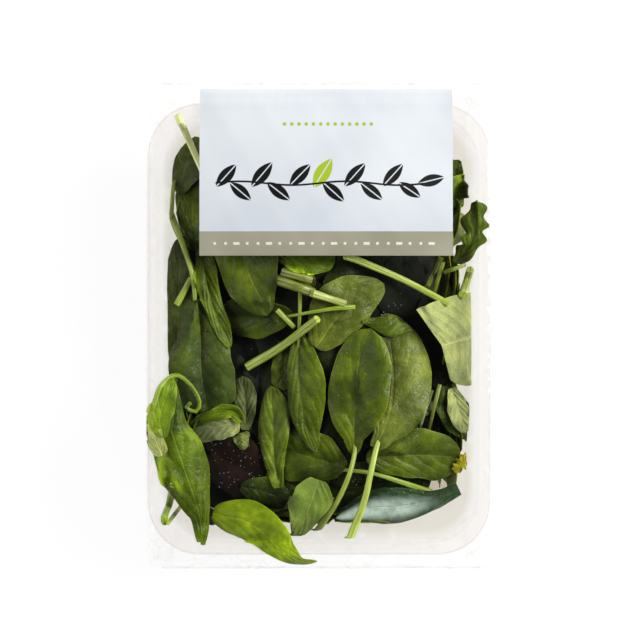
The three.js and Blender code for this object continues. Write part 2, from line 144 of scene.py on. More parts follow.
class Wire:                               # one socket of a material, with sums as operators
    def __init__(self, tree, socket=None):
        self.tree = tree
        self.socket = socket

    def node(self, kind, settings=None, sockets=None, out=0):
        made = self.tree.nodes.new(kind)
        for name, value in (settings or {}).items():
            setattr(made, name, value)
        for key, value in (sockets or {}).items():
            if isinstance(value, Wire):
                self.tree.links.new(value.socket, made.inputs[key])
            else:
                made.inputs[key].default_value = value
        return Wire(self.tree, made.outputs[out] if made.outputs else None)

    def out(self, name):                  # another output of the same node
        return Wire(self.tree, self.socket.node.outputs[name])

    def maths(self, operation, first, second=0.0):
        return self.node("ShaderNodeMath", {"operation": operation}, {0: first, 1: second})

    def __add__(self, other):
        return self.maths("ADD", self, other)

    __radd__ = __add__

    def __sub__(self, other):
        return self.maths("SUBTRACT", self, other)

    def __rsub__(self, other):
        return self.maths("SUBTRACT", other, self)

    def __mul__(self, other):
        return self.maths("MULTIPLY", self, other)

    __rmul__ = __mul__

    def __truediv__(self, other):
        return self.maths("DIVIDE", self, other)

    def __pow__(self, power):
        return self.maths("POWER", self, power)

    def size(self):
        return self.maths("ABSOLUTE", self)

    def most(self, other):
        return self.maths("MAXIMUM", self, other)

    def least(self, other):
        return self.maths("MINIMUM", self, other)

    def above(self, edge):
        return self.maths("GREATER_THAN", self, edge)

    def rise(self, low, high, fromValue=0.0, toValue=1.0):      # smooth step from low to high
        return self.node("ShaderNodeMapRange", {"interpolation_type": "SMOOTHSTEP"},
                         {0: self, 1: low, 2: high, 3: fromValue, 4: toValue})

    def mix(self, first, second):         # self is the share of the second colour
        return self.node("ShaderNodeMix", {"data_type": "RGBA"}, {0: self, 6: first, 7: second}, out=2)

    def tinted(self, share, colour):      # this colour multiplied by another
        return self.node("ShaderNodeMix", {"data_type": "RGBA", "blend_type": "MULTIPLY"},
                         {0: share, 6: self, 7: colour}, out=2)

    def noise(self, vector, scale, detail):
        return self.node("ShaderNodeTexNoise", None, {"Vector": vector, "Scale": scale, "Detail": detail})

    def bump(self, strength, distance):   # self is the height
        return self.node("ShaderNodeBump", None,
                         {"Strength": strength, "Distance": distance, "Height": self})

    def place(self):                      # object coordinates in metres
        return self.node("ShaderNodeTexCoord", out="Object")

    def parts(self, vector):              # x, y and z of a vector
        x = self.node("ShaderNodeSeparateXYZ", None, {0: vector}, out="X")
        return x, x.out("Y"), x.out("Z")

    def principled(self, sockets):
        return self.node("ShaderNodeBsdfPrincipled", None, sockets)

    def blendOf(self, first, second):     # self is the share of the second shader
        return self.node("ShaderNodeMixShader", None, {0: self, 1: first, 2: second})

    def scaled(self, share):              # this colour made darker or brighter
        return self.node("ShaderNodeVectorMath", {"operation": "SCALE"}, {0: self, "Scale": share})

    def attribute(self, name, out):
        return self.node("ShaderNodeAttribute", {"attribute_name": name}, out=out)

    def seeThrough(self, colour):
        return self.node("ShaderNodeBsdfTransparent", None, {"Color": colour})

    def finish(self):
        self.node("ShaderNodeOutputMaterial", None, {"Surface": self})


def newMaterial(name, colour):
    material = bpy.data.materials.new(name)
    material.use_nodes = True
    material.diffuse_color = colour
    material.node_tree.nodes.clear()
    return material, Wire(material.node_tree)


# The wrap's form, as the frame has it

wrapForm = {
    "left": -73.6,
    "right": 75.2,
    "shoulder": 56,
    "footInset": 7.5,
    "dome": 3.2,
    "domeHalf": (74, 92),
    "eased": 0.8,                          # how far either side of a station its corner is eased
    "finLength": 9,
    "finLean": 74,
    "finInset": 1.5,
    "stations": [                          # y, top edge, underside, side tuck
        (-103.2, 39.5, 31, 1), (-102.2, 51, 22, 7), (-99.5, 61, 14, 10), (-95, 63.2, 6.5, 6),
        (-87, 63, 0.8, 2), (-80, 62.6, 0, 0), (45, 62.6, 0, 0), (80, 62.4, 0, 0),
        (87, 62.2, 0.6, 2), (95, 61.8, 4.5, 6), (100.5, 60, 11, 10), (104.4, 53, 20, 8),
        (105.8, 41, 31, 1),
    ],
}
stationYs = np.array([station[0] for station in wrapForm["stations"]])


def stationValue(y, column):
    values = np.array([station[column] for station in wrapForm["stations"]])
    eased = wrapForm["eased"]
    near = [np.interp(y + offset, stationYs, values) for offset in (-eased, 0, eased)]
    inside = (y > stationYs[0] + 1) & (y < stationYs[-1] - 1)
    return np.where(inside, (near[0] + 2 * near[1] + near[2]) / 4, near[1])


def filmTop(x, y):
    halfX, halfY = wrapForm["domeHalf"]
    across = np.maximum(0, 1 - (x / halfX) ** 2)
    along = np.maximum(0, 1 - (y / halfY) ** 2)
    return stationValue(y, 1) + wrapForm["dome"] * across * along


wrinkleForm = {                            # ridges as height, turn, distance apart and phase
    "slack": [(0.12, 0.9, 17, 0.8), (0.1, -0.7, 23, 2.1)],
    "drawn": [(0.34, 0.06, 5.2, 0.3), (0.24, -0.1, 3.4, 1.7)],
    "cross": [(0.3, 1.45, 6.1, 0.9), (0.2, 1.2, 4.3, 2.6)],
    "side": [(0.35, 1.3, 7, 0.4), (0.25, 1.75, 4.1, 1.9)],
    "middle": (0.8, 1.3),
    "nearEnd": 84,
    "nearSide": 60,
    "fade": 12,
    "printed": (-53, 59, 0),               # left, right and low edge of the stretch under the print
    "printFade": (4, 10),
    "stiffness": 0.85,
}


def ridges(x, y, turn, wavelength, phase):  # thin crests with flat stretches between
    wander = 0.9 * np.sin(x / (3.1 * wavelength) + phase) + 0.7 * np.sin(y / (2.3 * wavelength) + 2 * phase)
    across = (x * math.cos(turn) + y * math.sin(turn)) / wavelength
    return (0.5 + 0.5 * np.cos(2 * math.pi * (across + wander + phase))) ** 3


def allRidges(x, y, kind):
    return sum(height * ridges(x, y, *rest) for height, *rest in wrinkleForm[kind])


def filmWrinkle(x, y):                     # outwards, in mm
    form = wrinkleForm
    nearEnd = np.clip((np.abs(y - form["middle"][1]) - form["nearEnd"]) / form["fade"], 0, 1)
    nearSide = np.clip((np.abs(x - form["middle"][0]) - form["nearSide"]) / form["fade"], 0, 1)
    left, right, low = form["printed"]
    fadeX, fadeY = form["printFade"]
    printed = np.clip((right - x) / fadeX, 0, 1) * np.clip((x - left) / fadeX, 0, 1)
    printed = printed * np.clip((y - low) / fadeY, 0, 1)
    drawn = allRidges(x, y, "drawn") * (1 - form["stiffness"] * printed)   # the print stiffens the film
    return allRidges(x, y, "slack") + nearEnd * drawn + nearSide * allRidges(x, y, "cross")


# The heap: its outline, and a height map that leaves are laid on one by one

heap = {
    "outline": [(-66, 35), (-64, 70), (-57, 84), (0, 86), (54, 72), (64, 50), (64, -45), (58, -63),
                (30, -73), (-5, -74), (-40, -75), (-58, -70), (-66, -20)],
    "coreFoot": 3.2,
    "coreTop": 34,
    "coreReach": 0.93,                     # share of the outline that the core fills in the height map
    "besideInset": 7,                      # where the heap's edge ends beside the tray's wall
    "besideDrop": 4,
    "fillers": 60,
    "thickness": 0.45,
    "clearance": 0.25,                     # least height of a leaf over the one below
    "settle": 0.8,
    "steepest": 0.5,
    "marginRise": 8,                       # how far over the core the tray's edge holds a margin up
    "marginInset": 5.5,
    "gapToFilm": 0.9,
    "gaps": [(35, 20, 7), (-33, -11, 7)],   # x, y, radius: dark places between leaves
    "squeezeFrom": 40,
    "squeezeShare": 0.985,
    "softFrom": 0.85,
}
eye = {"x": 0.42, "y": 3.8, "height": 760, "sharpPlane": 60, "fieldOfView": 21.85}

cellLow = (-84, -114)                      # corner of the height map, its cells are 1 mm wide
cellCount = (169, 229)
pileFoot = 3.0
pile = np.full(cellCount, pileFoot)
cellX, cellY = np.meshgrid(np.arange(cellCount[0]) + cellLow[0], np.arange(cellCount[1]) + cellLow[1],
                           indexing="ij")


def cellAt(x, y):                          # the cell of the height map that a place lies in
    return [np.clip(np.round(value - low).astype(int), 0, count - 1)
            for value, low, count in zip((x, y), cellLow, cellCount)]


def insideOutline(x, y, outline):
    inside = np.zeros(np.shape(x), bool)
    for (ax, ay), (bx, by) in zip(outline, outline[1:] + outline[:1]):
        crosses = (ay > y) != (by > y)
        rise = by - ay if by != ay else 1e-9
        inside ^= crosses & (x < (bx - ax) * (y - ay) / rise + ax)
    return inside


def outlineReach(angle):                   # distance from the middle to the outline
    away = np.arange(1, 110, 0.5)          # tried from the middle outwards
    x = away * math.cos(angle)
    y = away * math.sin(angle)
    return away[insideOutline(x, y, heap["outline"])].max()


reachAngles = np.linspace(-math.pi, math.pi, 181)
reachTable = np.array([outlineReach(angle) for angle in reachAngles])
eased = np.ones(7) / 7                     # evens out the outline's corners
reachTable = np.convolve(np.pad(reachTable, 3, mode="wrap"), eased, mode="valid")

trayForm = {
    "width": 144,
    "length": 190,
    "corner": 22,
    "cornerShrink": 0.45,                  # how fast the corner's radius shrinks with the inset
    "height": 60,
    "rimWidth": 4.2,
    "lipDrop": 3,
    "floorInset": 13,
    "footRise": 4.9,                       # where the wall's foot starts to round into the floor
    "footReach": 2.4,
    "wall": 0.5,
    "ribDepth": 1.3,
    "ribHalfWidth": 2.1,
    "ribFrom": 6,
    "ribTo": 55,
    "ribFade": 4,
    "longRibs": [-68, -55, -16, 0, 16, 55, 68],
    "shortRibs": [-39, -22.5, 0, 22.5, 39],
    "longRibScale": 63.4 / 73,
    "shortRibScale": 40.4 / 50,
    "onWall": 1.2,                         # how near the wall a place has to be to move with a rib
    "notch": 0.8,
    "notchFrom": 1.5,
    "notchReach": 12.5,
}


def wallInset(z):
    low = trayForm["floorInset"] - trayForm["footReach"]
    share = (z - trayForm["footRise"]) / (trayForm["height"] - trayForm["footRise"])
    return low + (trayForm["rimWidth"] - low) * share


def outsideTray(x, y, inset):              # distance past the tray's rounded outline, drawn in by inset
    radius = trayForm["corner"] - trayForm["cornerShrink"] * inset
    acrossX = np.abs(x) - (trayForm["width"] / 2 - inset - radius)
    acrossY = np.abs(y) - (trayForm["length"] / 2 - inset - radius)
    corner = np.hypot(np.maximum(acrossX, 0), np.maximum(acrossY, 0))
    return corner + np.minimum(np.maximum(acrossX, acrossY), 0) - radius


keepForm = {
    "margin": 2.6,                         # from the tray's wall
    "tries": 3,
    "probe": 0.05,
    "sink": 0.25,                          # how far a place sinks for each mm that it is pushed in
    "fromFilm": 1.3,
    "reach": 101,
    "foot": 3.5,
}
rimForm = {
    "near": 3.5,                           # where a leaf starts to rise, and over how many mm
    "rise": 2.5,
    "over": 1.1,
    "beyond": 0.5,                         # where it may sink again outside the rim
    "fall": 3,
    "sink": 4,
    "stalkFromFilm": 0.4,
    "leafFromFilm": 0.5,
}


def keepInside(points, overRim=False, margin=keepForm["margin"]):
    x, y, z = [points[..., axis] for axis in range(3)]
    if not overRim:                        # what would pass the wall is bent down along it
        inset = wallInset(np.minimum(z, trayForm["height"] - 1)) + margin
        probe = keepForm["probe"]
        for attempt in range(keepForm["tries"]):
            past = np.maximum(outsideTray(x, y, inset), 0)
            stepX = outsideTray(x + probe, y, inset) - outsideTray(x - probe, y, inset)
            stepY = outsideTray(x, y + probe, inset) - outsideTray(x, y - probe, inset)
            length = np.maximum(np.hypot(stepX, stepY), 1e-6)
            x -= past * stepX / length
            y -= past * stepY / length
            z -= keepForm["sink"] * past
    x[:] = np.clip(x, wrapForm["left"] + keepForm["fromFilm"], wrapForm["right"] - keepForm["fromFilm"])
    y[:] = np.clip(y, -keepForm["reach"], keepForm["reach"])
    z[:] = np.maximum(z, keepForm["foot"])
    return points


def liftOverRim(points, stalk):            # a leaf that lies over the rim, between it and the film
    form = rimForm
    x, y, z = [points[..., axis] for axis in range(3)]
    near = np.clip(outsideTray(x, y, trayForm["rimWidth"] + form["near"]) / form["rise"], 0, 1)
    beyond = np.clip(outsideTray(x, y, -form["beyond"]) / form["fall"], 0, 1)
    floor = (trayForm["height"] + form["over"]) * near - form["sink"] * beyond
    if stalk:                              # a stalk is lifted ring by ring and stays round
        z += np.maximum(0, floor.mean(1, keepdims=True) - z.min(1, keepdims=True))
        z -= np.maximum(0, (z - filmTop(x, y) + form["stalkFromFilm"]).max(1, keepdims=True))
    else:
        z[:] = np.minimum(np.maximum(z, floor), filmTop(x, y) - form["leafFromFilm"])
    return points


def heightAt(x, y, belowRim=False):        # below the rim the tray's edge holds nothing up
    i, j = cellAt(x, y)
    edge = belowRim & (outsideTray(x, y, heap["marginInset"]) > 0)
    return np.where(edge, np.minimum(pile[i, j], heap["coreTop"] + heap["marginRise"]), pile[i, j])


def raisePile(points, thickness):          # three times as fine as the leaf, so that no cell is missed
    fine = points
    for axis in (0, 1):
        steps = np.linspace(0, fine.shape[axis] - 1, 3 * fine.shape[axis])
        low = np.floor(steps).astype(int)
        high = np.minimum(low + 1, fine.shape[axis] - 1)
        share = (steps - low).reshape((-1, 1, 1) if axis == 0 else (1, -1, 1))
        fine = np.take(fine, low, axis) * (1 - share) + np.take(fine, high, axis) * share
    i, j = cellAt(fine[..., 0], fine[..., 1])
    np.maximum.at(pile, (i.ravel(), j.ravel()), fine[..., 2].ravel() + thickness)


def spread(points):                        # from the photograph's plane to the leaf's own height
    share = (eye["height"] - points[..., 2]) / (eye["height"] - eye["sharpPlane"])
    points[..., 0] = eye["x"] + (points[..., 0] - eye["x"]) * share
    points[..., 1] = eye["y"] + (points[..., 1] - eye["y"]) * share
    return points


def restOn(points, press, lift, belowRim):   # tilted as the pile is, and lowered on to it
    x, y, z = points[..., 0], points[..., 1], points[..., 2]
    support = heightAt(x, y, belowRim)
    want = (support - z).ravel()
    terms = np.stack([np.ones(want.size), (x - x.mean()).ravel(), (y - y.mean()).ravel()], 1)
    flat, slopeX, slopeY = np.linalg.lstsq(terms, want, rcond=None)[0]
    slope = np.hypot(slopeX, slopeY) * heap["settle"]
    ease = heap["settle"] * min(1, heap["steepest"] / max(slope, 1e-6))
    z = z + (x - x.mean()) * slopeX * ease + (y - y.mean()) * slopeY * ease
    z = z + np.quantile(support - z, press) + lift
    points[..., 2] = z
    return liftClear(points, belowRim)


def liftClear(points, belowRim):           # where a leaf dips into the pile it is pushed up
    z = points[..., 2]
    push = np.maximum(0, heightAt(points[..., 0], points[..., 1], belowRim) + heap["clearance"] - z)
    for blur in range(4):                  # a pushed place takes its neighbours along
        wide = np.pad(push, 1, mode="edge")
        soft = (wide[:-2, 1:-1] + wide[2:, 1:-1] + wide[1:-1, :-2] + wide[1:-1, 2:]) / 4
        push = np.maximum(push, (soft + push) / 2)
    points[..., 2] = z + push
    return points


# Leaves

leafTints = {
    # near black, for leaves that stand for the shade in the gaps: painted shade
    "paintedShadeBlack": (16, 22, 8),
    "deep": (58, 76, 14),
    "mid": (90, 110, 20),
    "olive": (106, 116, 24),
    "grass": (108, 136, 22),
    "lime": (136, 164, 20),
    "sage": (158, 170, 106),
    "blue": (76, 94, 36),
    "teal": (48, 76, 44),
    "wine": (30, 14, 6),
    "grey": (108, 122, 62),
    "pale": (174, 184, 96),
    "stalk": (150, 170, 50),
    "yellow": (170, 168, 30),
    "moss": (112, 128, 44),
    "limeStalk": (166, 186, 72),
    # a pale stalk tint made brighter still: painted light against the panel's shadow
    "paleStalkWithPaintedLight": (232, 240, 160),
}
veinForm = {"count": 5, "lean": 0.46, "bow": 1.3}   # shared by a leaf's relief and its finish
leafForm = {                               # what a leaf has unless it says otherwise
    "fold": 26,
    "curl": (-38, -44),
    "roll": 0,
    "arch": 1.5,
    "ruffle": 0.9,
    "waves": 2.3,
    "pucker": 0.32,
    "uneven": 0.06,
    "taper": 0.7,
    "tip": 0.45,
    "foot": 1.2,
    "shear": 0,
    "lobes": 0,
    "press": 0.88,
    "lift": 0,
    "back": False,
    "overRim": False,
    "margin": 1.1,
    "strength": 1,
    # gloss sets the coat and a painted highlight
    "gloss": 0,
    "least": 0,                            # how little the depth may darken it
}


def curveThrough(places, count):           # evenly spaced points on a smooth curve
    knots = np.array([tuple(place) + (0,) * (3 - len(place)) for place in places], float)
    knots = np.vstack([2 * knots[0] - knots[1], knots, 2 * knots[-1] - knots[-2]])
    dense = []
    for k in range(1, len(knots) - 2):
        a, b, c, d = knots[k - 1:k + 3]
        for t in np.linspace(0, 1, 24, endpoint=False):
            dense.append(0.5 * (2 * b + (c - a) * t + (2 * a - 5 * b + 4 * c - d) * t ** 2
                                + (3 * b - a - 3 * c + d) * t ** 3))
    dense = np.array(dense + [knots[-2]])
    along = np.concatenate([[0], np.cumsum(np.linalg.norm(np.diff(dense, axis=0), axis=1))])
    wanted = np.linspace(0, along[-1], count)
    return np.stack([np.interp(wanted, along, dense[:, k]) for k in range(3)], 1)


def framesAlong(spine):                    # heading, right and up at each point, without twist
    heading = np.gradient(spine, axis=0)
    heading /= np.maximum(np.linalg.norm(heading, axis=1, keepdims=True), 1e-9)
    right = np.zeros_like(heading)
    side = np.cross(heading[0], (0, 0, 1))
    for k, ahead in enumerate(heading):
        side = side - ahead * side.dot(ahead)
        side = side / max(np.linalg.norm(side), 1e-9)
        right[k] = side
    return heading, right, np.cross(right, heading)


def bladePoints(leaf, grid):               # rows from base to tip, columns from margin to margin
    columns, rows = grid
    spine = curveThrough(leaf["spine"], rows + 1)
    heading, right, up = framesAlong(spine)
    t = np.linspace(0, 1, rows + 1)
    rollEnds = leaf["roll"] if isinstance(leaf["roll"], tuple) else (leaf["roll"], leaf["roll"])
    roll = np.radians(rollEnds[0] + (rollEnds[1] - rollEnds[0]) * t)[:, None]
    right, up = right * np.cos(roll) + up * np.sin(roll), up * np.cos(roll) - right * np.sin(roll)
    shape = t ** leaf["taper"] * (1 - t) ** leaf["tip"]
    share = np.linspace(0, 1, columns // 2 + 1)
    phase = leaf["phase"]
    sides = []
    for side, sign, curl in (("left", -1, leaf["curl"][0]), ("right", 1, leaf["curl"][1])):
        if side in leaf:                   # half widths at even steps from base to tip
            widths = np.array(leaf[side], float)
            half = np.sqrt(np.interp(t, np.linspace(0, 1, len(widths)), widths ** 2))
        else:
            half = leaf["width"] / 2 * shape / shape.max()
        bumps = np.sin(2 * math.pi * (1.4 * t + phase + 0.3 * sign)) + 0.5 * np.sin(
            2 * math.pi * (3.3 * t + 2.1 * phase + 0.2 * sign))
        half = half * (1 + leaf["uneven"] * bumps)
        lobe = 0.5 + 0.5 * np.cos(2 * math.pi * 3.6 * t + 1.4 * np.sin(7 * t + 2 * sign))
        half = half * (1 - leaf["lobes"] * lobe)
        half = np.maximum(half, 0.2) + leaf["foot"] * (1 - t) ** 5
        angle = np.radians(leaf["fold"] * (1 - 0.5 * t)[:, None] + curl * share ** 2)
        step = np.diff(share)[0]
        out = np.cumsum(np.cos((angle[:, 1:] + angle[:, :-1]) / 2), 1) * step
        rise = np.cumsum(np.sin((angle[:, 1:] + angle[:, :-1]) / 2), 1) * step
        spanned = 1 / out.max(1, keepdims=True)     # the width is what shows from above
        out = np.hstack([np.zeros((rows + 1, 1)), out]) * half[:, None] * spanned * sign
        rise = np.hstack([np.zeros((rows + 1, 1)), rise]) * half[:, None] * spanned
        wave = np.sin(2 * math.pi * (leaf["waves"] * t[:, None] + 0.23 * sign + phase) + 1.3 * share)
        ends = np.sin(math.pi * np.clip(t, 0.04, 0.97))[:, None]    # calm at base and tip
        rise = rise + leaf["ruffle"] * wave * share ** 2 * ends
        vein = veinForm["count"] * (t[:, None] - veinForm["lean"] * share ** veinForm["bow"])
        vein = vein + (0.5 if sign > 0 else 0)
        window = np.clip(share / 0.12, 0, 1) * (1 - share ** 4) * np.clip(12 * t * (1 - t), 0, 1)[:, None]
        rise = rise + leaf["pucker"] * (np.abs(np.sin(math.pi * vein)) ** 0.8 - 0.5) * window
        sides.append((out, rise))
    out = np.hstack([sides[0][0][:, :0:-1], sides[1][0]])
    rise = np.hstack([sides[0][1][:, :0:-1], sides[1][1]])
    ahead = leaf["shear"] * np.maximum(out, 0) * t[:, None]
    points = spine[:, None] + sum(length[..., None] * line[:, None]
                                  for length, line in ((out, right), (rise, up), (ahead, heading)))
    points[..., 2] += leaf["arch"] * (4 * t * (1 - t))[:, None]
    if leaf["back"]:
        points = points[:, ::-1]
    return points


def tintLeaf(piece, tint, strength=1.0, gloss=0.0):   # the tint's alpha is 1 less the gloss
    colour = np.array(linear(*leafTints[tint]))
    colour[:3] *= strength
    colour[3] = 1 - gloss
    layer = piece.data.color_attributes.new("tintWithPaintedShade", "FLOAT_COLOR", "POINT")
    layer.data.foreach_set("color", np.tile(colour, len(piece.data.vertices)))


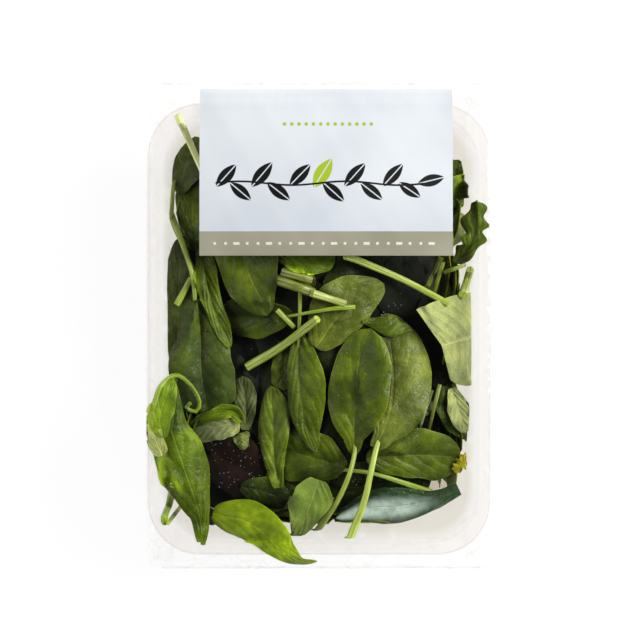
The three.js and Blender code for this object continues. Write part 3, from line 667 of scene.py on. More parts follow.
# The leaves and stalks that show, bottom of the heap first, read off the photograph
shownLeaves = [
    # the gap leaves are tinted near black: painted shade in the gaps
    {"name": "gapFoot", "tint": "paintedShadeBlack", "spine": [(-54, -62), (-40, -69), (-20, -69)], "width": 18,
     "press": 0.5},
    {"name": "gapLow", "tint": "deep", "spine": [(-24, -61), (8, -67), (48, -62)], "width": 21,
     "press": 0.5},
    {"name": "underWine", "tint": "wine", "spine": [(-50, -50), (-24, -64)], "width": 24},
    {"name": "gapRightTop", "tint": "paintedShadeBlack", "spine": [(36, 36), (34, 2)], "width": 20, "press": 0.5},
    {"name": "gapRight", "tint": "paintedShadeBlack", "spine": [(46, 14), (48, -30)], "width": 20, "press": 0.5},
    {"name": "gapLeft", "tint": "paintedShadeBlack", "spine": [(-33, 4), (-33, -26)], "width": 15, "press": 0.5},
    {"name": "underMiddle", "tint": "olive", "spine": [(-16, 26), (-2, 18)], "width": 9},
    {"name": "underFoot", "tint": "deep", "spine": [(-56, -72), (-45, -84)],
     "width": 10, "curl": (20, -60)},
    {"name": "leftEdge", "tint": "mid", "fold": 8, "curl": (-20, -30), "uneven": 0.03, "margin": 0.5,
     "spine": [(-60, -14), (-59.6, 12), (-59, 38.6)], "left": [1, 4.6, 6.4, 7, 6.6, 4.6, 0],
     "right": [1, 5, 7, 8, 8, 5, 0], "lift": 9, "strength": 0.9},
    {"name": "topRightDark", "tint": "deep", "spine": [(56, 58.7), (58.7, 71.4)], "width": 11},
    {"name": "topRightBright", "tint": "grass", "spine": [(53.6, 52.4), (65.4, 63)], "width": 13},
    {"name": "topRightBack", "tint": "sage", "spine": [(54.5, 35.5), (62, 48)],
     "width": 10, "back": True},
    {"name": "frilly", "tint": "mid", "spine": [(57.4, 28.3), (63.8, 35.5), (66.3, 46), (66.5, 54)],
     "width": 13, "lobes": 0.45, "ruffle": 1.6, "overRim": True},
    {"name": "frillyStalk", "tint": "stalk", "path": [(53.2, 24), (66.3, 28.7)], "width": 1.8},
    {"name": "shadeStalkA", "tint": "olive", "path": [(51.5, 30), (45.6, 17.7)], "width": 2.4},
    {"name": "shadeStalkB", "tint": "stalk", "path": [(52.4, 28.3), (48.6, 15.6)], "width": 2},
    {"name": "rightDark", "tint": "deep", "spine": [(52.4, -24), (57.4, -36.3), (64, -47.5)], "width": 13,
     "fold": 10, "curl": (50, -40), "tip": 0.9},
    {"name": "rightBack", "tint": "sage", "spine": [(56, -25), (62, -43.5)], "width": 9, "back": True},
    {"name": "rightStalkA", "tint": "olive", "path": [(51, -23.6), (46, -43.5)], "width": 1.8},
    {"name": "rightStalkB", "tint": "deep", "path": [(48, -25.8), (43, -40.5)], "width": 1.4},
    {"name": "blueLong", "tint": "teal", "fold": 10, "curl": (-40, -26), "uneven": 0.015, "lift": 7,
     "gloss": 1, "spine": [(59.1, -67.6), (48.6, -72.2), (34.2, -74.7), (21.5, -75.6), (7.2, -79.8)],
     "left": [1.4, 2.6, 4, 6, 7.2, 7.4, 6, 3.6, 0], "right": [1.4, 2.6, 4, 6.4, 7.8, 8, 6.6, 4, 0]},
    {"name": "rightLow", "tint": "mid", "strength": 0.88, "spine": [(20, -54.5), (40.5, -53.2), (60, -54)],
     "width": 21, "curl": (-50, -20)},
    {"name": "yellowFrill", "tint": "yellow", "spine": [(57, -60), (60.5, -57), (64.6, -53)], "width": 7,
     "lobes": 0.5, "ruffle": 1.4},
    {"name": "lowMiddle", "tint": "mid", "strength": 0.9, "width": 23,
     "spine": [(11.4, -58.3), (-3.8, -54), (-18.6, -49.8)],
     "stalk": [(11.4, -58.3), (23.6, -61.2), (47.3, -68.8)], "stalkWidth": 2.2, "stalkTint": "lime"},
    {"name": "blueFold", "tint": "deep", "spine": [(-33, -66.5), (-24, -68.5), (-13, -72.5)], "width": 13,
     "fold": 30, "curl": (-80, -80)},
    {"name": "paleBack", "tint": "grass", "back": True, "fold": 12, "curl": (16, -30), "ruffle": 1.6,
     "lift": 8, "margin": 0.4, "spine": [(-0.4, -63.6), (-3.8, -73.9), (-7.2, -82.3), (-12.4, -92)],
     "left": [2, 8, 7.6, 5, 2.6, 0], "right": [2, 8, 8.4, 6.3, 2.2, 0]},
    {"name": "centreSmall", "tint": "mid", "spine": [(-14.4, -6.8), (-15.2, -25.8)], "width": 11},
    {"name": "greyCup", "tint": "grey", "spine": [(-31.2, -42.6), (-30.8, -33), (-32.5, -20)], "width": 9.4,
     "fold": 34, "curl": (-60, -40)},
    {"name": "greyStub", "tint": "grey", "spine": [(-33, -43.8), (-32, -51)], "width": 6, "fold": -30,
     "taper": 0.3, "foot": 2},
    {"name": "centreShiny", "tint": "mid", "strength": 1.12, "fold": 30, "curl": (-78, -64), "uneven": 0.02,
     "spine": [(-16.9, -67.1), (-19, -53), (-19.4, -38.4), (-20.3, -24.1)],
     "left": [0.8, 3.2, 4.8, 6.2, 6, 4.6, 0], "right": [0.8, 2.5, 4.8, 6.5, 7.4, 6.4, 0]},
    {"name": "centreLong", "tint": "mid", "fold": 24, "curl": (-30, -60), "uneven": 0.02,
     "spine": [(-8.4, -2.5), (-8.9, -15.2), (-7.6, -30), (-5, -42.6), (-1.3, -52)],
     "left": [0.8, 7, 10, 11, 10.5, 8, 4.6, 0], "right": [0.8, 3, 4.4, 5, 5.4, 5, 3, 0],
     "stalk": [(-8.4, -2.5), (-8, 12.2), (-7.6, 25)], "stalkWidth": 1.8},
    {"name": "centreOlive", "tint": "moss", "strength": 0.86, "fold": 16,
     "curl": (-40, -36), "uneven": 0.02,
     "spine": [(-1.3, -7.8), (11, 8), (27.5, 19)], "left": [1, 8, 13, 14, 12, 8, 0],
     "right": [1, 7, 9.5, 10, 9, 6, 0]},
    {"name": "bandStalkA", "tint": "olive", "path": [(-18, 21), (-2.5, 15.4)], "width": 4.4},
    {"name": "bandStalkB", "tint": "olive", "path": [(-15, 24), (-3.4, 20.7)], "width": 3.8},
    {"name": "bandStalkC", "tint": "pale", "path": [(-3, 15.2), (11.4, 10.6)], "width": 3.2},
    {"name": "leftMiddle", "tint": "mid", "spine": [(-11.4, 5.5), (-24, 4.6), (-42, 5.6)], "width": 17,
     "curl": (-60, 20), "stalk": [(-11.4, 5.5), (4.6, 8.4), (15.2, 9.3)], "stalkWidth": 1.8,
     "stalkTint": "lime"},
    {"name": "underBand", "tint": "grass", "spine": [(-20.7, 33.4), (6.8, 28.3)], "width": 14},
    # leftUpper and leftSage are made brighter: painted light against the panel's shadow on this strip
    {"name": "leftUpper", "tint": "mid", "strength": 1.45, "curl": (-60, 20),
     "spine": [(-51.5, 33.4), (-53.6, 46), (-53.6, 58.7), (-51.5, 71.3)],
     "left": [1, 5, 6.4, 6.4, 4.6, 0], "right": [1, 5, 7, 7, 5, 0]},
    {"name": "leftSage", "tint": "grey", "strength": 1.45,
     "spine": [(-60, 57.8), (-57, 67.1), (-54.5, 75.6), (-53.2, 82.3)],
     "left": [1, 6, 9, 9.5, 8, 0], "right": [1, 5, 8, 9, 8, 0],
     "stalk": [(-60, 57.8), (-62.5, 48.1), (-65, 36.3)], "stalkWidth": 2.2},
    {"name": "cornerStalk", "tint": "paleStalkWithPaintedLight", "path": [(-59.5, 90), (-55, 79.8), (-50, 68.4), (-44, 56)],
     "width": 2.8, "overRim": True},
    {"name": "leftStub", "tint": "stalk", "path": [(-60, 10.4), (-54, 21.5)], "width": 2.7},
    {"name": "leftLong", "tint": "blue", "spine": [(-51.5, 12), (-50, -2), (-49.6, -18), (-46.5, -36)],
     "width": 29, "fold": 42, "curl": (-78, -84), "taper": 0.85, "tip": 0.4,
     "stalk": [(-51.5, 12), (-53.4, 22.4), (-57, 34), (-62.5, 49)], "stalkWidth": 2.3},
    {"name": "leftFolded", "tint": "mid", "fold": 34, "curl": (-30, -74), "uneven": 0.03,
     "spine": [(-49.4, 33.5), (-47.7, 20.7), (-44.3, 8), (-40.1, -2.1), (-37.7, -8.4)],
     "left": [1.4, 5, 4.6, 4.2, 3.8, 0], "right": [1.4, 3.6, 4, 3.6, 3.2, 0]},
    {"name": "leftBig", "tint": "mid", "strength": 0.94, "fold": 18, "curl": (-26, -34), "uneven": 0.015,
     "lift": 1.6, "spine": [(-39.3, 50.2), (-32.5, 30.8), (-28.3, 20.7), (-24.5, 12.2), (-22, 5.7)],
     "left": [1, 9, 14, 16, 13.8, 10.3, 6.4, 0], "right": [1, 7, 11, 10.9, 11.4, 11, 8, 0]},
    {"name": "crossStub", "tint": "stalk", "path": [(-17.7, 8), (-10.6, 0.8)], "width": 2.2},
    {"name": "crossStalk", "tint": "limeStalk", "path": [(-30.4, -16), (-16, -7.4), (-0.8, 4.2)],
     "width": 3.7},
    {"name": "hookBack", "tint": "sage", "spine": [(-33.5, -39.8), (-44, -41.5), (-53.5, -46.2)],
     "width": 11,
     "back": True, "fold": 10, "curl": (-30, 20), "taper": 0.4},
    {"name": "hookFlap", "tint": "grass",
     "spine": [(-32.5, -39), (-36.5, -34.2), (-46, -36.5), (-54.5, -40.5)],
     "width": 6, "fold": 40, "taper": 0.4, "roll": 25},
    {"name": "footStalkA", "tint": "lime", "overRim": True, "path": [(-61.5, -66), (-64.8, -81)],
     "width": 3.2},
    {"name": "footStalkB", "tint": "stalk", "overRim": True, "path": [(-55.5, -71.5), (-61.3, -78.5)],
     "width": 1.9},
    {"name": "footLong", "tint": "grass", "strength": 0.66, "overRim": True, "fold": -10,
     "curl": (-14, -44), "uneven": 0.02,
     "spine": [(-49.4, -89.5), (-50.1, -79.8), (-53, -69.7), (-56.3, -60), (-59.7, -50.4), (-62.5, -40.5),
               (-63, -30.4), (-62, -21.5)],
     "left": [1, 3.4, 8, 11.6, 10.8, 9, 7, 0], "right": [1, 3.2, 6.6, 10.2, 10.6, 7, 5, 0]},
    {"name": "footPale", "tint": "pale", "spine": [(-66.5, -53.5), (-70.6, -42.6), (-70.4, -31)],
     "width": 7.5,
     "back": True, "overRim": True, "taper": 0.4, "fold": 8, "curl": (-10, -10)},
    {"name": "footBright", "tint": "grass", "spine": [(-66, -46), (-67.2, -36), (-61, -20.5)], "width": 10.5,
     "overRim": True, "fold": 18, "tip": 0.8, "lift": 0.6},
    {"name": "hookStalk", "tint": "lime", "overRim": True,
     "path": [(-71.4, -33.5), (-67.1, -24.4), (-60.6, -19.4), (-54.4, -23.4), (-50.4, -30.4), (-51.8, -34.8),
              (-56, -33.4), (-54.4, -31.2)], "width": 2},
    {"name": "rightBig", "tint": "sage", "back": True, "fold": 2, "curl": (-10, -12), "uneven": 0.01,
     "spine": [(66.6, -3.6, -0.4), (65, -3.6, -0.2), (60, -4.6, 0), (55, -6.2, 0.4), (51.8, -7, 0.2)],
     "left": [14.5, 17, 19, 19.6, 19.4, 18, 14.5], "right": [18.6, 19, 19, 18.8, 18.4, 18, 17.5],
     "shear": 0.4, "margin": 0.7, "lift": 11, "foot": 0, "strength": 0.88, "arch": 0.6, "least": 0.8},
    {"name": "rightStub", "tint": "limeStalk", "overRim": True, "path": [(60.8, 14.6), (63.8, 25)],
     "width": 3.6},
    {"name": "topStalk", "tint": "limeStalk", "path": [(11, 30.8), (17.3, 28.7), (36, 20.6), (54.8, 10.6)],
     "width": 2.9},
    {"name": "bigBehind", "tint": "moss", "fold": 6, "curl": (-10, -60), "uneven": 0.015, "foot": 1.6,
     "spine": [(23.6, -50.2), (29, -38.4), (31.4, -23.2), (30.6, -8.9), (28, 6.6)],
     "lift": 1, "strength": 0.74,
     "left": [0.6, 2.4, 7, 11.6, 14, 14.6, 14, 12.4, 8.6, 0],
     "right": [0.8, 5, 11.4, 15, 15.8, 15.8, 15, 13, 9, 0],
     "stalk": [(23.6, -50.2), (21.8, -61), (19, -73), (12.2, -90.8)], "stalkWidth": 3.1,
     "stalkTint": "limeStalk"},
    {"name": "bigFold", "tint": "mid", "fold": 8, "curl": (-30, -10), "uneven": 0.01,
     "foot": 0, "lift": 0.5,
     "spine": [(18.2, 3), (22, 1.4), (27, -1.4), (33, -2.4), (39.4, -0.6)], "strength": 0.9, "ruffle": 0.3,
     "left": [0.4, 3.4, 6.6, 8.4, 8.2, 5.4, 0.6], "right": [0.2, 0.6, 0.8, 0.9, 0.8, 0.6, 0.2]},
    {"name": "bigFront", "tint": "mid", "fold": 26, "curl": (-40, -58), "uneven": 0.015, "lift": 1.5,
     "spine": [(14.8, -53.2), (15, -38.4), (15.6, -25.8), (17.4, -11.4), (21.8, 0.2)],
     "left": [0.4, 4.2, 9.2, 11.4, 11.4, 10.8, 9.6, 7, 0],
     "right": [0.4, 3.6, 10, 13.6, 14.6, 14.4, 13.8, 11.4, 0], "foot": 0.6,
     "stalk": [(14.8, -53.2), (12.6, -62), (7.5, -73), (-2.4, -87.6)], "stalkWidth": 2.6},
    {"name": "overRim", "tint": "lime", "strength": 0.88, "overRim": True, "fold": 10,
     "curl": (-44, -50), "uneven": 0.02,
     "spine": [(-44.8, -77.7), (-37.7, -79.6), (-30.7, -81.3), (-24.5, -85.3), (-19, -90.4), (-13.5, -95.2),
               (-7.4, -98.6), (-0.8, -98.6)],
     "left": [1.4, 7, 9, 9.4, 8.6, 5.4, 1.6, 0], "right": [1.4, 6, 7.6, 6.4, 5.6, 4.2, 1.8, 0]},
]

# Core, floor and rim come first in the height map
coreShare = np.hypot(cellX, cellY) / np.interp(np.arctan2(cellY, cellX), reachAngles, reachTable)
pile[coreShare < heap["coreReach"]] = heap["coreTop"]
onRim = (outsideTray(cellX, cellY, 0) < 1) & (outsideTray(cellX, cellY, trayForm["rimWidth"] + 1) > 0)
pile[onRim] = trayForm["height"] + 0.6
pile[outsideTray(cellX, cellY, 0) >= 1] = trayForm["height"] - 1

shownGrid = (20, 34)                       # faces across and along a leaf that shows, and one that fills
fillGrid = (12, 18)
shownMaster, shownOrder = gridMaster("leafMaster", *shownGrid)
fillMaster, fillOrder = gridMaster("fillMaster", *fillGrid)
stalkForm = {
    "sides": 14,
    "rings": 20,
    "share": 0.95,                         # of the width read off the photograph
    "groove": 0.3,
    "grooveWidth": 0.42,
    "uneven": 0.04,
    "least": 0.55,                         # how little the depth may darken it
    "margin": 1.2,
}
stalkMaster, stalkOrder = tubeMaster("stalkMaster", stalkForm["sides"], stalkForm["rings"])


def stalkPoints(spine, width, start, end):  # a grooved tube, start and end are its scale at the ends
    heading, right, up = framesAlong(spine)
    around = np.arange(stalkForm["sides"]) * 2 * math.pi / stalkForm["sides"]
    groove = 1 - stalkForm["groove"] * np.exp(-((around - math.pi / 2) / stalkForm["grooveWidth"]) ** 2)
    t = np.linspace(0, 1, len(spine))
    radius = width / 2 * (start + (end - start) * t) * (1 + stalkForm["uneven"] * np.sin(9 * t))
    across = radius[:, None] * np.cos(around) * groove
    over = radius[:, None] * np.sin(around) * groove
    return spine[:, None] + across[..., None] * right[:, None] + over[..., None] * up[:, None]


def restStalk(path, width, foot):          # foot is its height where it leaves a blade, if it does
    spine = curveThrough(path, stalkForm["rings"])
    support = heightAt(spine[:, 0], spine[:, 1]) + width / 2
    t = np.linspace(0, 1, len(spine))
    if foot is None:
        fit = np.polyfit(t, support, 2)
        z = np.polyval(fit, t)
        z += 0.75 * np.max(support - z)
    else:
        fit = np.linalg.lstsq(np.stack([t, t ** 2], 1), support - foot, rcond=None)[0]
        z = foot + fit[0] * t + fit[1] * t ** 2
        z += 0.6 * np.maximum(0, np.max(support - z)) * np.sin(math.pi * np.clip(t, 0, 0.5))
    spine[:, 2] += z
    return spine


def layLeaf(leaf, master, order, grid, strength=1.0):
    whole = {**leafForm, **leaf}
    points = bladePoints(whole, grid)
    points = restOn(points, whole["press"], whole["lift"], not whole["overRim"])
    points = keepInside(spread(points), whole["overRim"], whole["margin"])
    points = liftClear(points, not whole["overRim"])
    raisePile(points, heap["thickness"])
    piece = copyOf(master, leaf["name"])
    tintLeaf(piece, leaf["tint"], strength * whole["strength"], whole["gloss"])
    return {"name": leaf["name"], "piece": piece, "order": order, "points": points, "kind": "blade",
            "overRim": whole["overRim"], "least": whole["least"]}


def layStalk(name, path, width, tint, foot=None, start=1.1, end=0.95, overRim=False):
    width = width * stalkForm["share"]
    spine = spread(restStalk(path, width, foot))
    points = keepInside(stalkPoints(spine, width, start, end), overRim, stalkForm["margin"])
    raisePile(points, 0)
    piece = copyOf(stalkMaster, name)
    tintLeaf(piece, tint)
    along = np.linspace(0, np.linalg.norm(np.diff(spine, axis=0), axis=1).sum(), stalkForm["rings"])
    turns = np.arange(stalkForm["sides"]) * 2 * math.pi / stalkForm["sides"]
    place = np.zeros((stalkForm["rings"], stalkForm["sides"], 3))
    place[..., 0] = along[:, None] + 13 * len(name)       # so that no two stalks are streaked alike
    place[..., 1] = np.cos(turns)
    place[..., 2] = np.sin(turns)
    values = np.empty((len(stalkOrder), 3))
    values[stalkOrder] = place.reshape(-1, 3)
    layer = piece.data.attributes.new("stalkPlace", "FLOAT_VECTOR", "POINT")
    layer.data.foreach_set("vector", values.ravel())
    return {"name": name, "piece": piece, "order": stalkOrder, "points": points, "kind": "stalk",
            "overRim": overRim, "least": stalkForm["least"]}


# Filling leaves under the ones that show
fillForm = {
    "low": (-66, -80),                     # corners of the stretch that their middles lie in
    "high": (66, 86),
    "length": (32, 50),
    "width": (17, 28),
    "edgeShare": 0.88,                     # of the outline, that a leaf's ends stay inside
    "fromGap": 9,
    "tries": 4000,
    "tints": ["deep", "deep", "mid", "blue", "olive"],
    "bend": 5,
    "fold": (8, 34),
    "curl": (-70, 20),
    "roll": (-14, 14),
    "arch": (-1, 3),
    "backs": 0.12,                         # share that lie with their underside up
    # half as bright: painted shade for leaves that lie under the ones that show
    "strength": 0.5,
}
fillerLaid = []
tries = 0
while len(fillerLaid) < heap["fillers"] and tries < fillForm["tries"]:
    tries += 1
    x, y = [rng.uniform(low, high) for low, high in zip(fillForm["low"], fillForm["high"])]
    turn = rng.uniform(0, 2 * math.pi)
    length = rng.uniform(*fillForm["length"])
    reach = np.array([math.cos(turn), math.sin(turn)]) * length / 2
    ends = np.array([[x, y] - reach, [x, y] + reach])
    spanned = ends / fillForm["edgeShare"]
    if not insideOutline(spanned[:, 0], spanned[:, 1], heap["outline"]).all():
        continue
    beside = min(math.hypot(*(np.array([x, y]) + reach * share - (gx, gy))) - gr
                 for gx, gy, gr in heap["gaps"] for share in (-1, -0.5, 0, 0.5, 1))
    if beside < fillForm["fromGap"]:
        continue
    bend = rng.uniform(-fillForm["bend"], fillForm["bend"]) * np.array([-math.sin(turn), math.cos(turn)])
    leaf = {
        "name": "filler%02d" % len(fillerLaid),
        "tint": str(rng.choice(fillForm["tints"])),
        "spine": [tuple(ends[0]), (x + bend[0], y + bend[1]), tuple(ends[1])],
        "width": rng.uniform(*fillForm["width"]),
        "fold": rng.uniform(*fillForm["fold"]),
        "curl": (rng.uniform(*fillForm["curl"]), rng.uniform(*fillForm["curl"])),
        "roll": rng.uniform(*fillForm["roll"]),
        "arch": rng.uniform(*fillForm["arch"]),
        "phase": rng.uniform(0, 1),
        "back": bool(rng.random() < fillForm["backs"]),
        "press": 0.8,
        "margin": keepForm["margin"],
    }
    fillerLaid.append(layLeaf(leaf, fillMaster, fillOrder, fillGrid, fillForm["strength"]))
print("filling leaves laid, heap is", round(float(pile[coreShare < 0.9].mean()), 1), "mm high on average")

inTray = outsideTray(cellX, cellY, heap["besideInset"]) < 0
pile[inTray] = np.maximum(pile[inTray], heap["coreTop"] - heap["besideDrop"])   # no leaf sinks to the floor
shownLaid = []
for number, leaf in enumerate(shownLeaves):
    if "spine" in leaf:
        leaf = {"phase": (0.37 * number) % 1, **leaf}
        laid = layLeaf(leaf, shownMaster, shownOrder, shownGrid)
        shownLaid.append(laid)
        if "stalk" in leaf:                # it starts a few rows up the rib, just under the blade
            middle = laid["points"][:, shownGrid[0] // 2]
            path = [tuple(middle[4, :2]), tuple(middle[1, :2])] + leaf["stalk"][1:]
            foot = middle[4, 2] - 0.55 * leaf["stalkWidth"]
            shownLaid.append(layStalk(leaf["name"] + "Stalk", path, leaf["stalkWidth"],
                                      leaf.get("stalkTint", "stalk"), foot, 0.7, 1.18))
    else:
        shownLaid.append(layStalk(leaf["name"], leaf["path"], leaf["width"], leaf["tint"],
                                  overRim=leaf.get("overRim", False)))
print("shown leaves laid, heap is", round(float(pile[coreShare < 0.9].mean()), 1), "mm high on average,",
      round(float(pile[coreShare < 0.9].max()), 1), "mm at most")


def squeezeFactor():                       # how far the heap shrinks or grows to reach the film
    tops = []
    for laid in fillerLaid + shownLaid:
        points = laid["points"].reshape(-1, 3)
        room = filmTop(points[:, 0], points[:, 1]) - heap["gapToFilm"] - heap["squeezeFrom"]
        tops.append((points[:, 2] - heap["squeezeFrom"]) / room)
    return float(np.quantile(np.concatenate(tops), heap["squeezeShare"]))


def squeeze(points, factor):               # under the film, with every leaf still above the one below
    z = points[..., 2]
    room = filmTop(points[..., 0], points[..., 1]) - heap["gapToFilm"] - heap["squeezeFrom"]
    share = (z - heap["squeezeFrom"]) / room / max(factor, 1)
    low = heap["softFrom"]
    soft = np.where(share > low, low + (1 - low) * np.tanh((share - low) / (1 - low)), share)
    points[..., 2] = np.where(share > 0, heap["squeezeFrom"] + soft * room, z)
    return points


factor = squeezeFactor()
print("heap squeezed by", round(factor, 3))
for laid in fillerLaid + shownLaid:
    points = squeeze(laid["points"], factor)
    if laid["overRim"]:
        points = liftOverRim(points, laid["kind"] == "stalk")
    fillMesh(laid["piece"], laid["order"], points)


# Painted shade and light: leaves that lie deep between others are painted darker, as little light gets down
# to them, and blades are painted lighter where they face the lamps
shadeForm = {
    "directions": 12,
    "distances": (2.5, 5, 8, 12, 17),
    "clear": 0.6,                          # what stands out less than this throws no shade
    "filling": 0.02,
    "shown": 0.3,
    "power": 2.4,
    "facing": 0.9,
    "towardsLamps": (0.85, 0.35),
    "limits": (0.5, 1.6),
}


def shadeByDepth(laid, least):
    points = laid["points"]
    x, y, z = points[..., 0], points[..., 1], points[..., 2]
    openness = np.zeros(z.shape)
    for k in range(shadeForm["directions"]):
        turn = 2 * math.pi * k / shadeForm["directions"]
        slope = np.zeros(z.shape)
        for away in shadeForm["distances"]:
            above = heightAt(x + away * math.cos(turn), y + away * math.sin(turn)) - z
            slope = np.maximum(slope, (above - shadeForm["clear"]) / away)
        openness += 1 / (1 + slope ** 2) / shadeForm["directions"]
    least = max(least, laid["least"])
    light = least + (1 - least) * openness ** shadeForm["power"]
    if laid["kind"] == "blade":            # painted light: a blade is lighter where it faces the lamps, which stand to the right
        upwards = np.cross(np.gradient(points, axis=0), np.gradient(points, axis=1))
        upwards /= np.linalg.norm(upwards, axis=-1, keepdims=True) + 1e-9
        upwards *= np.where(upwards[..., 2:] < 0, -1, 1)
        facing = upwards[..., :2] @ np.array(shadeForm["towardsLamps"])
        light *= np.clip(1 + shadeForm["facing"] * (1 - 0.8 * least) * facing, *shadeForm["limits"])
    layer = laid["piece"].data.color_attributes["tintWithPaintedShade"]
    colours = np.empty(4 * len(laid["order"]))
    layer.data.foreach_get("color", colours)
    colours = colours.reshape(-1, 4)
    colours[laid["order"], :3] *= light.reshape(-1, 1)
    layer.data.foreach_set("color", colours.ravel())


pile[:] = pileFoot                         # the height map once more, of the squeezed heap
for laid in fillerLaid + shownLaid:
    raisePile(laid["points"], 0)
for laid in fillerLaid:
    shadeByDepth(laid, shadeForm["filling"])
for laid in shownLaid:
    shadeByDepth(laid, shadeForm["shown"])


# Leaves standing against the tray's walls, seen from the sides
wallForm = {
    "straight": (56, 31),                  # half of the row on a long and on a short side
    "apart": 9.5,
    "shift": 4,
    "layers": 2,
    "layerGap": 4,
    "gap": 2.8,
    "uneven": 1.5,
    "rise": (12, 36),
    "lean": 75,
    "length": (34, 48),
    "width": (18, 27),
    "foot": 8,
    "top": 36,
    "overTop": 5,
    "lowest": 4.5,
    "margin": 2.2,
    "tints": ["mid", "olive", "deep", "grass", "blue"],
    "strength": 0.9,
    "fold": (-6, 20),
    "curl": (-30, 20),
    "arch": (0, 2),
    "taper": (0.45, 0.8),
}


def wallPlace(side, along, z, inward):     # a place on wall 0 to 3, inward from its inner face
    halfSize = (trayForm["length"] if side % 2 else trayForm["width"]) / 2
    out = halfSize - wallInset(z) - wallForm["gap"] - inward
    turn = side * math.pi / 2
    return np.stack([out * math.cos(turn) - along * math.sin(turn),
                     out * math.sin(turn) + along * math.cos(turn), z], -1)


def wallLeaf(side, layer, along):          # drawn flat on the wall, along and up, then stood on its side
    form = wallForm
    rise = rng.uniform(*form["rise"])
    lean = math.radians(rng.uniform(-form["lean"], form["lean"]))
    length = rng.uniform(*form["length"])
    step = np.array([math.sin(lean), math.cos(lean)]) * length / 2
    middle = np.array([along + rng.uniform(-form["shift"], form["shift"]), rise])
    middle[1] = np.clip(middle[1], form["foot"] + abs(step[1]), form["top"] - abs(step[1]) * 0.9)
    leaf = {
        **leafForm,
        "spine": [tuple(middle - step), tuple(middle + step)],
        "width": rng.uniform(*form["width"]),
        "fold": rng.uniform(*form["fold"]),
        "curl": (rng.uniform(*form["curl"]), rng.uniform(*form["curl"])),
        "arch": rng.uniform(*form["arch"]),
        "taper": rng.uniform(*form["taper"]),
        "phase": rng.uniform(0, 1),
    }
    flat = bladePoints(leaf, fillGrid)
    behind = (form["layers"] - 1 - layer) * form["layerGap"]      # the first layer stands behind the last
    inward = flat[..., 2] - flat[..., 2].min() + behind + rng.uniform(0, form["uneven"])
    height = np.clip(flat[..., 1], form["lowest"], form["top"] + form["overTop"])
    points = keepInside(wallPlace(side, flat[..., 0], height, inward), margin=form["margin"])
    piece = copyOf(fillMaster, "wallLeaf")
    tintLeaf(piece, str(rng.choice(form["tints"])), form["strength"])
    fillMesh(piece, fillOrder, points[:, ::-1])
    return {"piece": piece}


wallLaid = []
for side in range(4):
    straight = wallForm["straight"][side % 2]
    for layer in range(wallForm["layers"]):
        for along in np.arange(-straight, straight + 1, wallForm["apart"]):
            wallLaid.append(wallLeaf(side, layer, along))
print("wall leaves laid:", len(wallLaid))


# Leaf and stalk finishes

